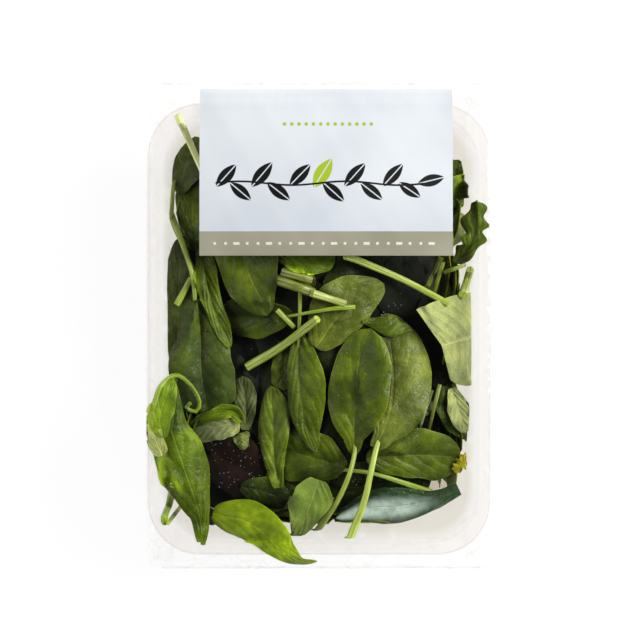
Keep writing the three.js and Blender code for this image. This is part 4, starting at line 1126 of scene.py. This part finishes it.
def leafMaterial(name, under):
    material, start = newMaterial(name, linear(76, 106, 44))
    uv = start.node("ShaderNodeUVMap", {"uv_map": "UVMap"})
    across, along = start.parts(uv)[:2]
    signed = across * 2 - 1
    aside = signed.size()
    place = start.place()
    # the leaf's own tint, with painted shade and light from shadeByDepth
    tint = start.attribute("tintWithPaintedShade", "Color")
    shiny = 1 - tint.out("Alpha")
    broad = start.noise(place, 70.0, 3.0)
    mottle = start.noise(place, 260.0, 3.0)
    fine = start.noise(place, 1100.0, 2.0)
    wander = start.noise(place, 150.0, 1.0) - 0.5
    ribWidth = 0.085 - 0.065 * along
    rib = (1 - aside.rise(ribWidth * 0.3, ribWidth)) * (1 - 0.45 * along)
    bowed = aside ** veinForm["bow"]
    veinPhase = veinForm["count"] * (along - veinForm["lean"] * bowed)
    veinPhase = veinPhase + signed.above(0) * 0.5 + wander * 0.5
    fromVein = (start.maths("FRACT", veinPhase) - 0.5).size() * 2
    fade = (1 - aside.rise(0.45, 0.95)) * mottle.rise(0.3, 0.6, 0.35, 1.0)
    vein = fromVein.rise(0.9, 0.99) * fade
    swell = fromVein.rise(0.45, 1.0) * (1 - aside.rise(0.75, 1.0))
    cells = start.node("ShaderNodeTexVoronoi", {"feature": "DISTANCE_TO_EDGE"},
                       {"Vector": place, "Scale": 480.0, "Randomness": 1.0})
    net = 1 - cells.rise(0.0, 0.12)
    # a thin lighter line along the margin: painted highlight where the margin catches the light
    edge = aside.rise(0.955, 0.995)
    light = broad.rise(0.32, 0.7, 0.62, 1.36) * fine.rise(0.3, 0.7, 0.93, 1.07)
    light = light * mottle.rise(0.3, 0.7, 0.86, 1.14)
    warm = broad.rise(0.42, 0.7).mix((1, 1, 1, 1), (1.08, 1.0, 0.82, 1))
    shade = tint.tinted(1.0, warm).scaled(light)
    pale = shade.tinted(1.0, (2.2, 1.9, 2.6, 1))
    if under:
        ground = start.node("ShaderNodeMix", {"data_type": "RGBA"},
                            {0: 0.2, 6: shade, 7: linear(150, 166, 112)}, out=2)
        marks = (rib * 0.9 + vein * 0.2 + net * 0.1).least(1.0)
        colour = marks.mix(ground, ground.tinted(1.0, (1.7, 1.5, 1.7, 1)))
        height = rib * 1.5 + vein * 0.5 + net * 0.25 + fine * 0.3 + swell * 0.25 + mottle * 1.4
        rough = mottle.rise(0.3, 0.7, 0.5, 0.64)
    else:
        marks = rib * mottle.rise(0.3, 0.7, 0.3, 0.75) + vein * 0.16 + net * 0.04 + edge * 0.7
        # painted highlight: a pale blue-white band down the middle of a glossy leaf
        paintedHighlight = shiny * (1 - (signed + 0.15).size().rise(0.1, 0.85)) * mottle.rise(0.25, 0.7, 0.6, 1.0)
        paintedHighlight = paintedHighlight * along.rise(0.1, 0.5)
        colour = paintedHighlight.mix(marks.least(1.0).mix(shade, pale), linear(200, 222, 208))
        dark = 1 - start.parts(tint)[1].rise(0.0, 0.03)
        rough = mottle.rise(0.3, 0.7, 0.3, 0.42) - shiny * 0.08 + dark * 0.5
        height = 1.2 - rib * 1.1 - vein * 0.2 - net * 0.15 - swell * 0.3
        height = height + mottle * 2.2 + fine * 0.3 + broad * 3
        height = height * (1 - dark * 0.85)            # hardly any relief shows in the gaps
    surface = start.principled({
        "Base Color": colour,
        "Roughness": rough,
        "Specular IOR Level": 0.18,
        "Coat Weight": shiny * mottle.rise(0.4, 0.6, 0.35, 1.0),
        "Coat Roughness": 0.16,
        "Normal": height.bump(0.5, 0.0007),
    })
    surface.finish()
    return material


def stalkMaterial():
    material, start = newMaterial("stalk", linear(146, 178, 78))
    # the stalk's own tint, with painted shade from shadeByDepth
    tint = start.attribute("tintWithPaintedShade", "Color")
    place = start.attribute("stalkPlace", "Vector")
    along, sideways, over = start.parts(place)
    stretched = start.node("ShaderNodeCombineXYZ", None,
                           {0: along * 0.07, 1: sideways * 2.4, 2: over * 2.4})
    streak = start.noise(stretched, 2.0, 3.0)
    soft = start.noise(stretched, 0.6, 2.0)
    groove = 1 - (sideways - 0.12).size().rise(0.04, 0.22)
    # painted shade: the colour is darker in the groove
    light = streak.rise(0.34, 0.66, 0.95, 1.5) * soft.rise(0.3, 0.7, 0.86, 1.12) * (1 - 0.42 * groove)
    shade = tint.scaled(light)
    # painted shade: the stalk's sides are darker
    shadedFlank = sideways.size().rise(0.55, 1.0)
    colour = (shadedFlank * 0.2).mix(shade, linear(84, 112, 34))
    # painted highlight: a lighter streak along the stalk's top
    top = over.rise(0.5, 1.0) * streak.rise(0.4, 0.62) * (1 - groove)
    colour = (top * 0.5).mix(colour, linear(196, 208, 128))
    surface = start.principled({
        "Base Color": colour,
        "Roughness": 0.36,
        "Specular IOR Level": 0.5,
        "Normal": (streak + soft * 0.5 - groove * 0.6).bump(0.5, 0.0004),
    })
    surface.finish()
    return material


leafTop = leafMaterial("leafTop", False)
leafUnder = leafMaterial("leafUnder", True)
stalkFinish = stalkMaterial()


def joinLaid(laid, name, *finishes):
    piece = joinPieces([item["piece"] for item in laid], name)
    piece.data.materials.clear()
    for finish in finishes:
        piece.data.materials.append(finish)
    return piece


def finishLeaves(laid, name):              # the underside that Solidify adds takes the second finish
    piece = joinLaid(laid, name, leafTop, leafUnder)
    body = piece.modifiers.new("body", "SOLIDIFY")
    body.thickness = heap["thickness"] * mm
    body.offset = -1
    body.material_offset = 1
    applyModifiers(piece)
    smoothPiece(piece, 50)
    finishPiece(piece, "spinach")


blades = [item for item in shownLaid if item["kind"] == "blade"]
finishLeaves(blades, "shownLeaves")
finishLeaves(fillerLaid, "fillingLeaves")
finishLeaves(wallLaid, "wallLeaves")
stalks = joinLaid([item for item in shownLaid if item["kind"] == "stalk"], "stalks", stalkFinish)
smoothPiece(stalks, 60)
finishPiece(stalks, "spinach")
for master in (shownMaster, fillMaster, stalkMaster):
    removeMaster(master)

# Droplets on the leaves
dewForm = {
    "size": (0.08, 0.2),
    "raised": 0.3,                         # share of its size that a droplet's middle lies over the leaf
    "patches": [                           # middle x and y, half width and length, how many
        (-36, -58, 15, 12, 90), (28, -72, 28, 8, 60), (27, 10, 9, 6, 30), (-20, -30, 40, 40, 60)],
}
clearSelection()
bpy.ops.mesh.primitive_ico_sphere_add(subdivisions=1, radius=mm)
droplet = bpy.context.object
ball = np.array([vertex.co[:] for vertex in droplet.data.vertices])
droplets = []
for middleX, middleY, halfX, halfY, count in dewForm["patches"]:
    for k in range(count):
        x = middleX + rng.uniform(-1, 1) * halfX
        y = middleY + rng.uniform(-1, 1) * halfY
        size = rng.uniform(*dewForm["size"])
        drop = copyOf(droplet, "drop")
        places = ball * size + np.array([x, y, heightAt(x, y) + dewForm["raised"] * size]) * mm
        drop.data.vertices.foreach_set("co", places.ravel())
        droplets.append(drop)
removeMaster(droplet)
dew = joinPieces(droplets, "dew")
# the droplets are coloured pale, which stands in for their glints: painted highlight
material, start = newMaterial("dew", linear(220, 228, 220))
start.principled({"Base Color": linear(226, 234, 226), "Roughness": 0.12, "Alpha": 0.6}).finish()
dew.data.materials.append(material)
smoothPiece(dew, 180)
finishPiece(dew, "spinach")

# Core of packed leaves, only seen as dark gaps; its near-black colour is painted shade
coreForm = {
    "share": 0.92,
    "flatTop": 0.55,                       # the smaller, the flatter the top and the steeper the sides
    "fullSides": 0.45,
    "lumps": 0.8,
    "lumpSizes": (4.3, 5.1, 3.7),
}
clearSelection()
bpy.ops.mesh.primitive_ico_sphere_add(subdivisions=5, radius=1)
core = bpy.context.object
core.name = "leafCore"
ball = np.array([vertex.co[:] for vertex in core.data.vertices])
angle = np.arctan2(ball[:, 1], ball[:, 0])
level = np.sign(ball[:, 2]) * np.abs(ball[:, 2]) ** coreForm["flatTop"]
flatShare = np.hypot(ball[:, 0], ball[:, 1]) ** coreForm["fullSides"]
reach = np.interp(angle, reachAngles, reachTable) * coreForm["share"] * flatShare
coreMiddle = (heap["coreFoot"] + heap["coreTop"]) / 2
coreHalf = (heap["coreTop"] - heap["coreFoot"]) / 2
corePoints = np.stack([reach * np.cos(angle), reach * np.sin(angle), coreMiddle + coreHalf * level], 1)
sizeX, sizeY, sizeAll = coreForm["lumpSizes"]
lump = np.sin(corePoints[:, 0] / sizeX) * np.cos(corePoints[:, 1] / sizeY)
lump = lump + np.sin(corePoints.sum(1) / sizeAll)
corePoints[:, 2] += coreForm["lumps"] * lump * (corePoints[:, 2] > coreMiddle)
fillMesh(core, np.arange(len(ball)), keepInside(corePoints))
material, start = newMaterial("packedLeavesInPaintedShade", linear(26, 38, 18))
patches = start.noise(start.place(), 120.0, 4.0)
start.principled({
    "Base Color": patches.rise(0.35, 0.65).mix(linear(14, 20, 10), linear(34, 48, 22)),
    "Roughness": 0.7,
    "Normal": patches.bump(0.8, 0.002),
}).finish()
core.data.materials.append(material)
smoothPiece(core, 180)
finishPiece(core, "spinach")


# Tray: drawn from its rim down, then given its wall

trayRings = {                              # where rings of faces lie, from the rim inwards and down
    "cornerSteps": 14,
    "cuts": (94, 138),                     # along a short and a long side
    "rimInsets": (0.7, 2.1, 3.5, trayForm["rimWidth"]),
    "wallHeights": (59.2, 57.5, 54, 52, 46, 38, 30, 22, 14, 9, 7, trayForm["footRise"]),
    "footHeights": (3, 1.7, 1),
    "floorHeight": 1,
    "floorSteps": (3, 17, 40),
    "straightEdge": 50,                    # an edge that is longer is a straight side
}


def selectSides(piece, axis):              # in edit mode: select the two straight sides along x or y
    bpy.ops.mesh.select_all(action="DESELECT")
    bpy.ops.object.mode_set(mode="OBJECT")
    mesh = piece.data
    for edge in mesh.edges:
        first, second = [mesh.vertices[k].co for k in edge.vertices]
        edge.select = abs(first[axis] - second[axis]) > trayRings["straightEdge"] * mm
    bpy.ops.object.mode_set(mode="EDIT")


def buildTray():
    form = trayForm
    clearSelection()
    bpy.ops.mesh.primitive_plane_add(size=1, location=(0, 0, 0))
    piece = bpy.context.object
    piece.name = "clearTray"
    piece.scale = (form["width"] * mm, form["length"] * mm, 1)
    piece.location = (0, 0, (form["height"] - form["lipDrop"]) * mm)
    bpy.ops.object.transform_apply(location=True, rotation=False, scale=True)
    bpy.ops.object.mode_set(mode="EDIT")
    bpy.ops.mesh.select_all(action="SELECT")
    bpy.ops.mesh.bevel(offset=form["corner"] * mm, offset_type="OFFSET", affect="VERTICES",
                       segments=trayRings["cornerSteps"])
    bpy.ops.mesh.select_all(action="SELECT")
    bpy.ops.mesh.delete(type="ONLY_FACE")
    bpy.ops.mesh.select_mode(type="EDGE")
    for axis in (1, 0):
        selectSides(piece, axis)
        bpy.ops.mesh.subdivide(number_cuts=trayRings["cuts"][axis])
    bpy.ops.mesh.select_all(action="SELECT")
    bpy.ops.mesh.extrude_region_move(TRANSFORM_OT_translate={"value": (0, 0, form["lipDrop"] * mm)})
    floor = trayRings["floorHeight"]
    footShare = [(z - floor) / (form["footRise"] - floor) for z in trayRings["footHeights"]]
    rings = [(form["height"], inset) for inset in trayRings["rimInsets"]]
    rings += [(z, wallInset(z)) for z in trayRings["wallHeights"]]
    rings += [(z, form["floorInset"] - form["footReach"] * share ** 1.6)
              for z, share in zip(trayRings["footHeights"], footShare)]
    rings += [(floor, form["floorInset"] + step) for step in trayRings["floorSteps"]]
    below = (form["height"], 0)
    for z, inset in rings:
        bpy.ops.mesh.extrude_region_move(TRANSFORM_OT_translate={"value": (0, 0, (z - below[0]) * mm)})
        factors = [(size / 2 - inset) / (size / 2 - below[1]) for size in (form["width"], form["length"])]
        bpy.ops.transform.resize(value=(factors[0], factors[1], 1), center_override=(0, 0, z * mm))
        below = (z, inset)
    bpy.ops.mesh.edge_face_add()
    bpy.ops.mesh.select_all(action="SELECT")
    bpy.ops.mesh.normals_make_consistent(inside=True)
    bpy.ops.object.mode_set(mode="OBJECT")
    return piece


def pressRibs(piece):                      # ribs down the walls and small notches in the rim over them
    form = trayForm
    points = np.array([vertex.co[:] for vertex in piece.data.vertices]) / mm
    x, y, z = points.T
    inset = np.where(z < form["height"] - 0.1, wallInset(np.clip(z, form["footRise"], form["height"])), 0)
    body = np.clip((z - form["ribFrom"]) / form["ribFade"], 0, 1)
    body = body * np.clip((form["ribTo"] - z) / form["ribFade"], 0, 1)
    for ribs, scale, size, axis in ((form["longRibs"], form["longRibScale"], form["width"], 0),
                                    (form["shortRibs"], form["shortRibScale"], form["length"], 1)):
        away = np.abs(points[:, axis])
        onWall = np.abs(away - (size / 2 - inset)) < form["onWall"]
        onSide = away > size / 2 - form["notchReach"]
        onRim = (z > form["height"] - 0.5) & (outsideTray(x, y, form["notchFrom"]) > 0) & onSide
        for rib in ribs:
            near = np.clip(1 - np.abs(points[:, 1 - axis] - rib * scale) / form["ribHalfWidth"], 0, 1)
            bulge = np.sin(near * math.pi / 2)
            points[:, axis] -= np.sign(points[:, axis]) * form["ribDepth"] * bulge * body * onWall
            points[:, 2] -= form["notch"] * bulge * onRim
    fillMesh(piece, np.arange(len(points)), points)


tray = buildTray()
pressRibs(tray)
wall = tray.modifiers.new("wall", "SOLIDIFY")
wall.thickness = trayForm["wall"] * mm
wall.offset = -1
applyModifiers(tray)
smoothPiece(tray, 35)


def pastTray(x, y, inset):                 # distance in metres past the tray's outline, drawn in by inset
    radius = (trayForm["corner"] - trayForm["cornerShrink"] * inset) * mm
    overX = x.size() - ((trayForm["width"] / 2 - inset) * mm - radius)
    overY = y.size() - ((trayForm["length"] / 2 - inset) * mm - radius)
    cornerX = overX.most(0.0)
    cornerY = overY.most(0.0)
    corner = (cornerX * cornerX + cornerY * cornerY) ** 0.5
    return corner + overX.most(overY).least(0.0) - radius


def trayMaterial():
    material, start = newMaterial("clearPlastic", linear(225, 220, 212)[:3] + (0.35,))
    place = start.place()
    z = start.parts(place)[2]
    rimMask = z.rise(0.0565, 0.0575)
    floorShadeMask = 1 - z.rise(0.003, 0.006)
    cloud = start.noise(place, 60.0, 3.0)
    body = start.principled({
        "Base Color": cloud.rise(0.3, 0.7).mix(linear(214, 206, 196), linear(232, 226, 218)),
        "Roughness": 0.2,
        "Specular IOR Level": 0.6,
    })
    floorPaintedShade = start.seeThrough(linear(229, 223, 213))        # floor, darker: painted shade
    tinted = start.seeThrough(linear(245, 243, 238))       # walls
    clear = start.seeThrough(linear(253, 252, 251))        # rim
    # the floor takes more of the grey body: painted shade
    share = 0.04 + cloud * 0.07 + rimMask * 0.02 + floorShadeMask * 0.06
    sheer = z.rise(0.035, 0.057).blendOf(z.rise(0.0025, 0.006).blendOf(floorPaintedShade, tinted), clear)
    share.blendOf(sheer, body).finish()
    return material


tray.data.materials.append(trayMaterial())
finishPiece(tray, "tray")


# Wrap: rings along the pack, closed into one tube with a crimped fin at each end
filmForm = {
    "around": 208,
    "straight": 92,                        # the even rings lie up to here, beyond it they are closer
    "along": 150,
    "endRings": 22,
    "endCrowding": 1.4,
    "finRings": 21,
    "finGap": 0.5,
    "finThick": 0.35,
    "finWave": (0.35, 9),
    "crimp": 0.16,
    "crimpWave": 1.5,
    "pullFrom": 0.96,                      # how far across the section the side tuck starts
    "topFrom": 0.97,
    "side": (0.05, 0.9),
    "sideWidth": 6,
}
cadSection = [(-1, 0.93), (-0.97, 1), (-0.66, 1), (-0.33, 1), (0, 1), (0.33, 1), (0.66, 1), (0.97, 1),
              (1, 0.93), (1, 0.5), (1, 0.06), (0.95, 0), (0.5, 0), (0, 0), (-0.5, 0), (-0.95, 0),
              (-1, 0.06), (-1, 0.5)]


def evenRound(points, count):              # evenly spaced points round a closed outline, corners eased
    closed = np.vstack([points, points[:1]])
    along = np.concatenate([[0], np.cumsum(np.linalg.norm(np.diff(closed, axis=0), axis=1))])
    wanted = np.linspace(0, along[-1], count, endpoint=False)
    even = np.stack([np.interp(wanted, along, closed[:, k]) for k in range(2)], 1)
    return (np.roll(even, 1, 0) + 2 * even + np.roll(even, -1, 0)) / 4


def footInset(z):                          # how much narrower the wrap is at a height below the shoulder
    return wrapForm["footInset"] * max(0, 1 - z / wrapForm["shoulder"])


def wrapRing(y):
    form = wrapForm
    middle = (form["left"] + form["right"]) / 2
    half = (form["right"] - form["left"]) / 2
    top, bottom, tuck = [float(stationValue(np.array(y), column)) for column in (1, 2, 3)]
    outline = []
    for across, up in cadSection:
        z = bottom + (top - bottom) * up
        pull = tuck * (1 - abs(2 * up - 1)) * (abs(across) > filmForm["pullFrom"])
        outline.append((middle + across * (half - footInset(z) - pull), z))
    x, z = evenRound(np.array(outline), filmForm["around"]).T
    ys = np.full(len(x), float(y))
    up = np.clip((z - bottom) / (top - bottom), 0, 1)
    z = z + (filmTop(x, ys) - top) * up ** 3
    reach = half - footInset((bottom + top) / 2) - filmForm["sideWidth"]
    outwards = np.sign(x - middle) * (np.abs(x - middle) > reach)
    low, high = filmForm["side"]
    onSide = (up > low) & (up < high)
    wrinkle = filmWrinkle(x, ys) * (up > filmForm["topFrom"])
    x = x + outwards * allRidges(z, ys, "side") * onSide
    return np.stack([x, ys, z + wrinkle], 1)


def finRing(side, share):
    form = wrapForm
    station = form["stations"][0 if side < 0 else -1]
    root = (station[1] + station[2]) / 2
    base = wrapRing(station[0])
    middle = (form["left"] + form["right"]) / 2
    half = (form["right"] - form["left"]) / 2 - footInset(root)
    up = np.clip((base[:, 2] - station[2]) / (station[1] - station[2]), 0, 1)
    lean = math.radians(form["finLean"])
    thick = filmForm["finThick"] * (1 - share) ** 2
    waveHeight, waveLength = filmForm["finWave"]
    crimp = filmForm["crimp"] * math.sin(2 * math.pi * share * form["finLength"] / filmForm["crimpWave"])
    out = (2 * up - 1) * thick + crimp
    x = middle + (base[:, 0] - middle) * (half - form["finInset"]) / np.abs(base[:, 0] - middle).max()
    reach = form["finLength"] * share
    y = station[0] + side * (filmForm["finGap"] + reach * math.cos(lean) + out * math.sin(lean))
    z = root - reach * math.sin(lean) + out * math.cos(lean) + waveHeight * np.sin(x / waveLength)
    return np.stack([x, y, z], 1)


def buildWrap():
    yLow, yHigh = stationYs[0], stationYs[-1]
    straight, count, crowding = [filmForm[key] for key in ("straight", "endRings", "endCrowding")]
    ys = np.concatenate([
        yLow + (-straight - yLow) * np.linspace(0, 1, count, endpoint=False) ** crowding,
        np.linspace(-straight, straight, filmForm["along"], endpoint=False),
        straight + (yHigh - straight) * (1 - (1 - np.linspace(0, 1, count)) ** crowding),
    ])
    shares = np.linspace(0, 1, filmForm["finRings"])
    rings = [finRing(-1, share) for share in shares[::-1]]
    rings += [wrapRing(y) for y in ys]
    rings += [finRing(1, share) for share in shares]
    rings = np.array(rings)
    closed = np.concatenate([rings, rings[:, :1]], 1)
    piece, order = gridMaster("clearWrap", closed.shape[1] - 1, closed.shape[0] - 1)
    fillMesh(piece, order, closed)
    pick(piece)
    bpy.ops.object.mode_set(mode="EDIT")
    bpy.ops.mesh.select_all(action="SELECT")
    bpy.ops.mesh.remove_doubles(threshold=0.00001)
    bpy.ops.mesh.normals_make_consistent(inside=False)
    bpy.ops.object.mode_set(mode="OBJECT")
    smoothPiece(piece, 180)
    return piece


def wrapMaterial():
    material, start = newMaterial("clearFilm", linear(245, 244, 242)[:3] + (0.2,))
    place = start.place()
    x, y = start.parts(place)[:2]
    beyond = pastTray(x, y, 0.5).rise(-0.0004, 0.0006)
    fold = start.noise(place, 45.0, 3.0)
    crease = 1 - ((fold - 0.5).size() * 2).rise(0.0, 0.05)
    crease = (crease * beyond).least(1.0)
    fine = start.noise(place, 260.0, 2.0)
    haze = 0.001 + beyond * 0.02 + crease * 0.04
    # the creases are a darker grey: painted shade in the film's folds
    skin = start.principled({
        "Base Color": crease.mix(linear(236, 229, 218), linear(176, 168, 158)),
        "Roughness": 0.3,
    })
    clear = start.seeThrough((1, 1, 1, 1))
    gloss = start.node("ShaderNodeBsdfGlossy", None, {
        "Color": (1, 1, 1, 1),
        "Roughness": 0.1,
        "Normal": (fold + fine * 0.25).bump(0.35, 0.001),
    })
    fresnel = start.node("ShaderNodeFresnel", None, {"IOR": 1.42})
    (fresnel * 0.4).least(0.045).blendOf(haze.blendOf(clear, skin), gloss).finish()
    return material


wrap = buildWrap()
wrap.data.materials.append(wrapMaterial())
finishPiece(wrap, "wrap")


# Printed panel and its band, laid on the film
printForm = {"left": -50.2, "right": 56.2, "bandFoot": 30.8, "bandTop": 41, "top": 101.4, "gap": 0.15,
             "thickness": 0.12}


def printedSheet(name, foot, top, columns, rows):
    form = printForm
    piece, order = gridMaster(name, columns, rows)
    x, y = np.meshgrid(np.linspace(form["left"], form["right"], columns + 1),
                       np.linspace(foot, top, rows + 1))
    z = filmTop(x, y) + filmWrinkle(x, y) + form["gap"] + form["thickness"]
    fillMesh(piece, order, np.stack([x, y, z], -1))
    sheet = piece.modifiers.new("sheet", "SOLIDIFY")
    sheet.thickness = form["thickness"] * mm
    sheet.offset = -1
    applyModifiers(piece)
    smoothPiece(piece, 60)
    return piece


sprigForm = {
    "row": 61.2,                           # height of the sprig's stem on the panel
    "wave": (0.8, 0.14),
    "stemMiddle": 0.5,
    "stemHalf": (43.5, 44.5),
    "ink": (14, 16, 18),
    "accent": (166, 190, 42),
    "leaves": [                            # x, y off the stem, turn in degrees, length, width, accent
        (-39, 3.2, 48, 13, 5.4, 0), (-33, -3.4, -40, 12, 5, 0), (-24, 3.6, 50, 14, 5.6, 0),
        (-17, -3.4, -38, 12.5, 5.2, 0), (-8, 3.4, 46, 13, 5.4, 0), (1.5, 4.2, 58, 15, 6.4, 1),
        (6, -3.6, -42, 12.5, 5.2, 0), (15, 3.5, 48, 13.5, 5.4, 0), (22, -3.4, -38, 12, 5, 0),
        (31, 3.4, 48, 13, 5.2, 0), (38, -2.8, -34, 11.5, 4.8, 0), (47, 1.2, 14, 12, 5, 0),
    ],
    "dots": {"row": 86.2, "from": -14.5, "to": 22, "count": 13, "radius": 0.75},
}
dashForm = {                               # the row of dashes in the grey band
    "row": 35.9,
    "from": -46,
    "step": 4.55,
    "middle": 2.2,
    "reach": (46.6, 46.8),
    "halfHeight": (0.45, 0.65),
    "short": 0.55,
    "longer": 0.75,                        # every third dash is longer by this on either side
}


def lensMask(x, y, middleX, offStem, degrees, length, width):   # a leaf with its midrib left clear
    turn = math.radians(degrees)
    dx = x / mm - middleX
    dy = y / mm - (sprigForm["row"] + offStem)
    along = dx * math.cos(turn) + dy * math.sin(turn)
    across = dy * math.cos(turn) - dx * math.sin(turn)
    share = along / (length / 2)
    edge = (1 - share * share) * (width / 2)
    vein = across.size().rise(0.12, 0.34)
    return (edge - across.size()).rise(-0.08, 0.12) * vein


def panelMaterial():
    material, start = newMaterial("whitePrint", linear(235, 238, 244))
    place = start.place()
    x, y = start.parts(place)[:2]
    masks = {0: [], 1: []}                 # in ink and in the accent colour
    for *form, accented in sprigForm["leaves"]:
        masks[accented].append(lensMask(x, y, *form))
    ink, accent = [functools.reduce(Wire.most, masks[accented]) for accented in (0, 1)]
    waveHeight, waveTurn = sprigForm["wave"]
    stemRow = y / mm - (sprigForm["row"] + waveHeight * start.maths("SINE", x / mm * waveTurn))
    stemEnds = (x / mm - sprigForm["stemMiddle"]).size().rise(*sprigForm["stemHalf"])
    ink = ink.most((1 - stemRow.size().rise(0.3, 0.5)) * (1 - stemEnds))
    dots = sprigForm["dots"]
    step = (dots["to"] - dots["from"]) / (dots["count"] - 1)
    column = (x / mm - dots["from"]) / step
    nearest = start.maths("FRACT", column + 0.5) - 0.5
    dotX = nearest * step
    dotY = y / mm - dots["row"]
    away = (dotX * dotX + dotY * dotY) ** 0.5
    inRow = column.above(-0.5) * (1 - column.above(dots["count"] - 0.5))
    dot = (1 - away.rise(dots["radius"] - 0.12, dots["radius"] + 0.12)) * inRow
    accent = accent.most(dot)
    tone = start.noise(place, 18.0, 2.0)
    # the print's white, with an uneven blue-grey tone that stands in for reflections: painted reflection
    paperWithPaintedReflection = tone.rise(0.3, 0.7).mix(linear(206, 212, 220), linear(222, 228, 232))
    colour = ink.mix(accent.mix(paperWithPaintedReflection, linear(*sprigForm["accent"])), linear(*sprigForm["ink"]))
    fine = start.noise(place, 500.0, 2.0)
    start.principled({
        "Base Color": colour,
        "Roughness": tone.rise(0.3, 0.7, 0.3, 0.42),
        "Specular IOR Level": 0.4,
        "Normal": (tone + fine * 0.1).bump(0.15, 0.0006),
    }).finish()
    return material


def bandMaterial():
    material, start = newMaterial("greyPrint", linear(156, 154, 134))
    form = dashForm
    place = start.place()
    x, y = start.parts(place)[:2]
    column = (x / mm - form["from"]) / form["step"]
    nearest = (start.maths("FRACT", column) - 0.5) * form["step"]
    longDash = start.maths("FRACT", column / 3 + 0.01).above(0.66)
    offRow = (y / mm - form["row"]).size()
    half = form["short"] + longDash * form["longer"]
    dash = (1 - nearest.size().rise(half - 0.1, half + 0.1)) * (1 - offRow.rise(*form["halfHeight"]))
    pastRow = (x / mm - form["middle"]).size().rise(*form["reach"])
    tone = start.noise(place, 40.0, 2.0)
    ground = tone.rise(0.3, 0.7).mix(linear(150, 148, 128), linear(162, 160, 141))
    start.principled({
        "Base Color": (dash * (1 - pastRow)).mix(ground, linear(226, 225, 214)),
        "Roughness": 0.36,
        "Specular IOR Level": 0.4,
        "Normal": tone.bump(0.15, 0.0006),
    }).finish()
    return material


panel = printedSheet("panelSheet", printForm["bandTop"], printForm["top"], 96, 84)
panel.data.materials.append(panelMaterial())
finishPiece(panel, "panel")
band = printedSheet("bandSheet", printForm["bandFoot"], printForm["bandTop"], 96, 14)
band.data.materials.append(bandMaterial())
finishPiece(band, "panel_band")


# Floor, light and camera
stageForm = {"floorSize": 6.0, "glow": 0.92, "world": 1.0}


def areaLight(name, place, size, power, colour):   # aimed at the middle of the pack's underside
    clearSelection()
    bpy.ops.object.light_add(type="AREA", location=place)
    light = bpy.context.object
    light.name = name
    light.data.shape = "RECTANGLE"
    light.data.size = size[0]
    light.data.size_y = size[1]
    light.data.energy = power
    light.data.color = colour
    aim = -np.array(place)
    tilt = math.atan2(math.hypot(aim[0], aim[1]), -aim[2])
    light.rotation_euler = (tilt, 0, math.atan2(-aim[0], aim[1]))


clearSelection()
bpy.ops.mesh.primitive_plane_add(size=stageForm["floorSize"], location=(0, 0, -0.0002))
floor = bpy.context.object
floor.name = "floor"
material, start = newMaterial("paleFloor", (1, 1, 1, 1))
start.principled({
    "Base Color": (0.12, 0.12, 0.12, 1),
    "Roughness": 0.9,
    "Emission Color": (1, 1, 1, 1),
    "Emission Strength": stageForm["glow"],
}).finish()
floor.data.materials.append(material)

# The sky is dim overhead, so that nothing veils the leaves, and brighter low down
world = bpy.data.worlds.new("softSky")
world.use_nodes = True
skyStart = Wire(world.node_tree)
skyUp = skyStart.parts(skyStart.node("ShaderNodeTexCoord", out="Generated"))[2]
sky = skyUp.rise(0.1, 0.5).mix((1, 1, 1, 1), (0.05, 0.05, 0.055, 1))
world.node_tree.links.new(sky.socket, world.node_tree.nodes["Background"].inputs["Color"])
world.node_tree.nodes["Background"].inputs["Strength"].default_value = stageForm["world"]
bpy.context.scene.world = world

areaLight("keyRight", (0.85, 0.3, 0.78), (0.45, 0.6), 17, (1, 0.99, 0.97))
areaLight("fillLeft", (-0.85, 0.1, 0.7), (0.5, 0.7), 4, (0.97, 0.98, 1))

clearSelection()
bpy.ops.object.camera_add(location=(eye["x"] * mm, eye["y"] * mm, eye["height"] * mm), rotation=(0, 0, 0))
camera = bpy.context.object
camera.data.sensor_fit = "HORIZONTAL"
camera.data.angle = math.radians(eye["fieldOfView"])
camera.data.clip_start = 0.01
bpy.context.scene.camera = camera
bpy.context.scene.view_settings.view_transform = "Standard"
bpy.context.scene.cycles.transparent_max_bounces = 32
print("stage set")
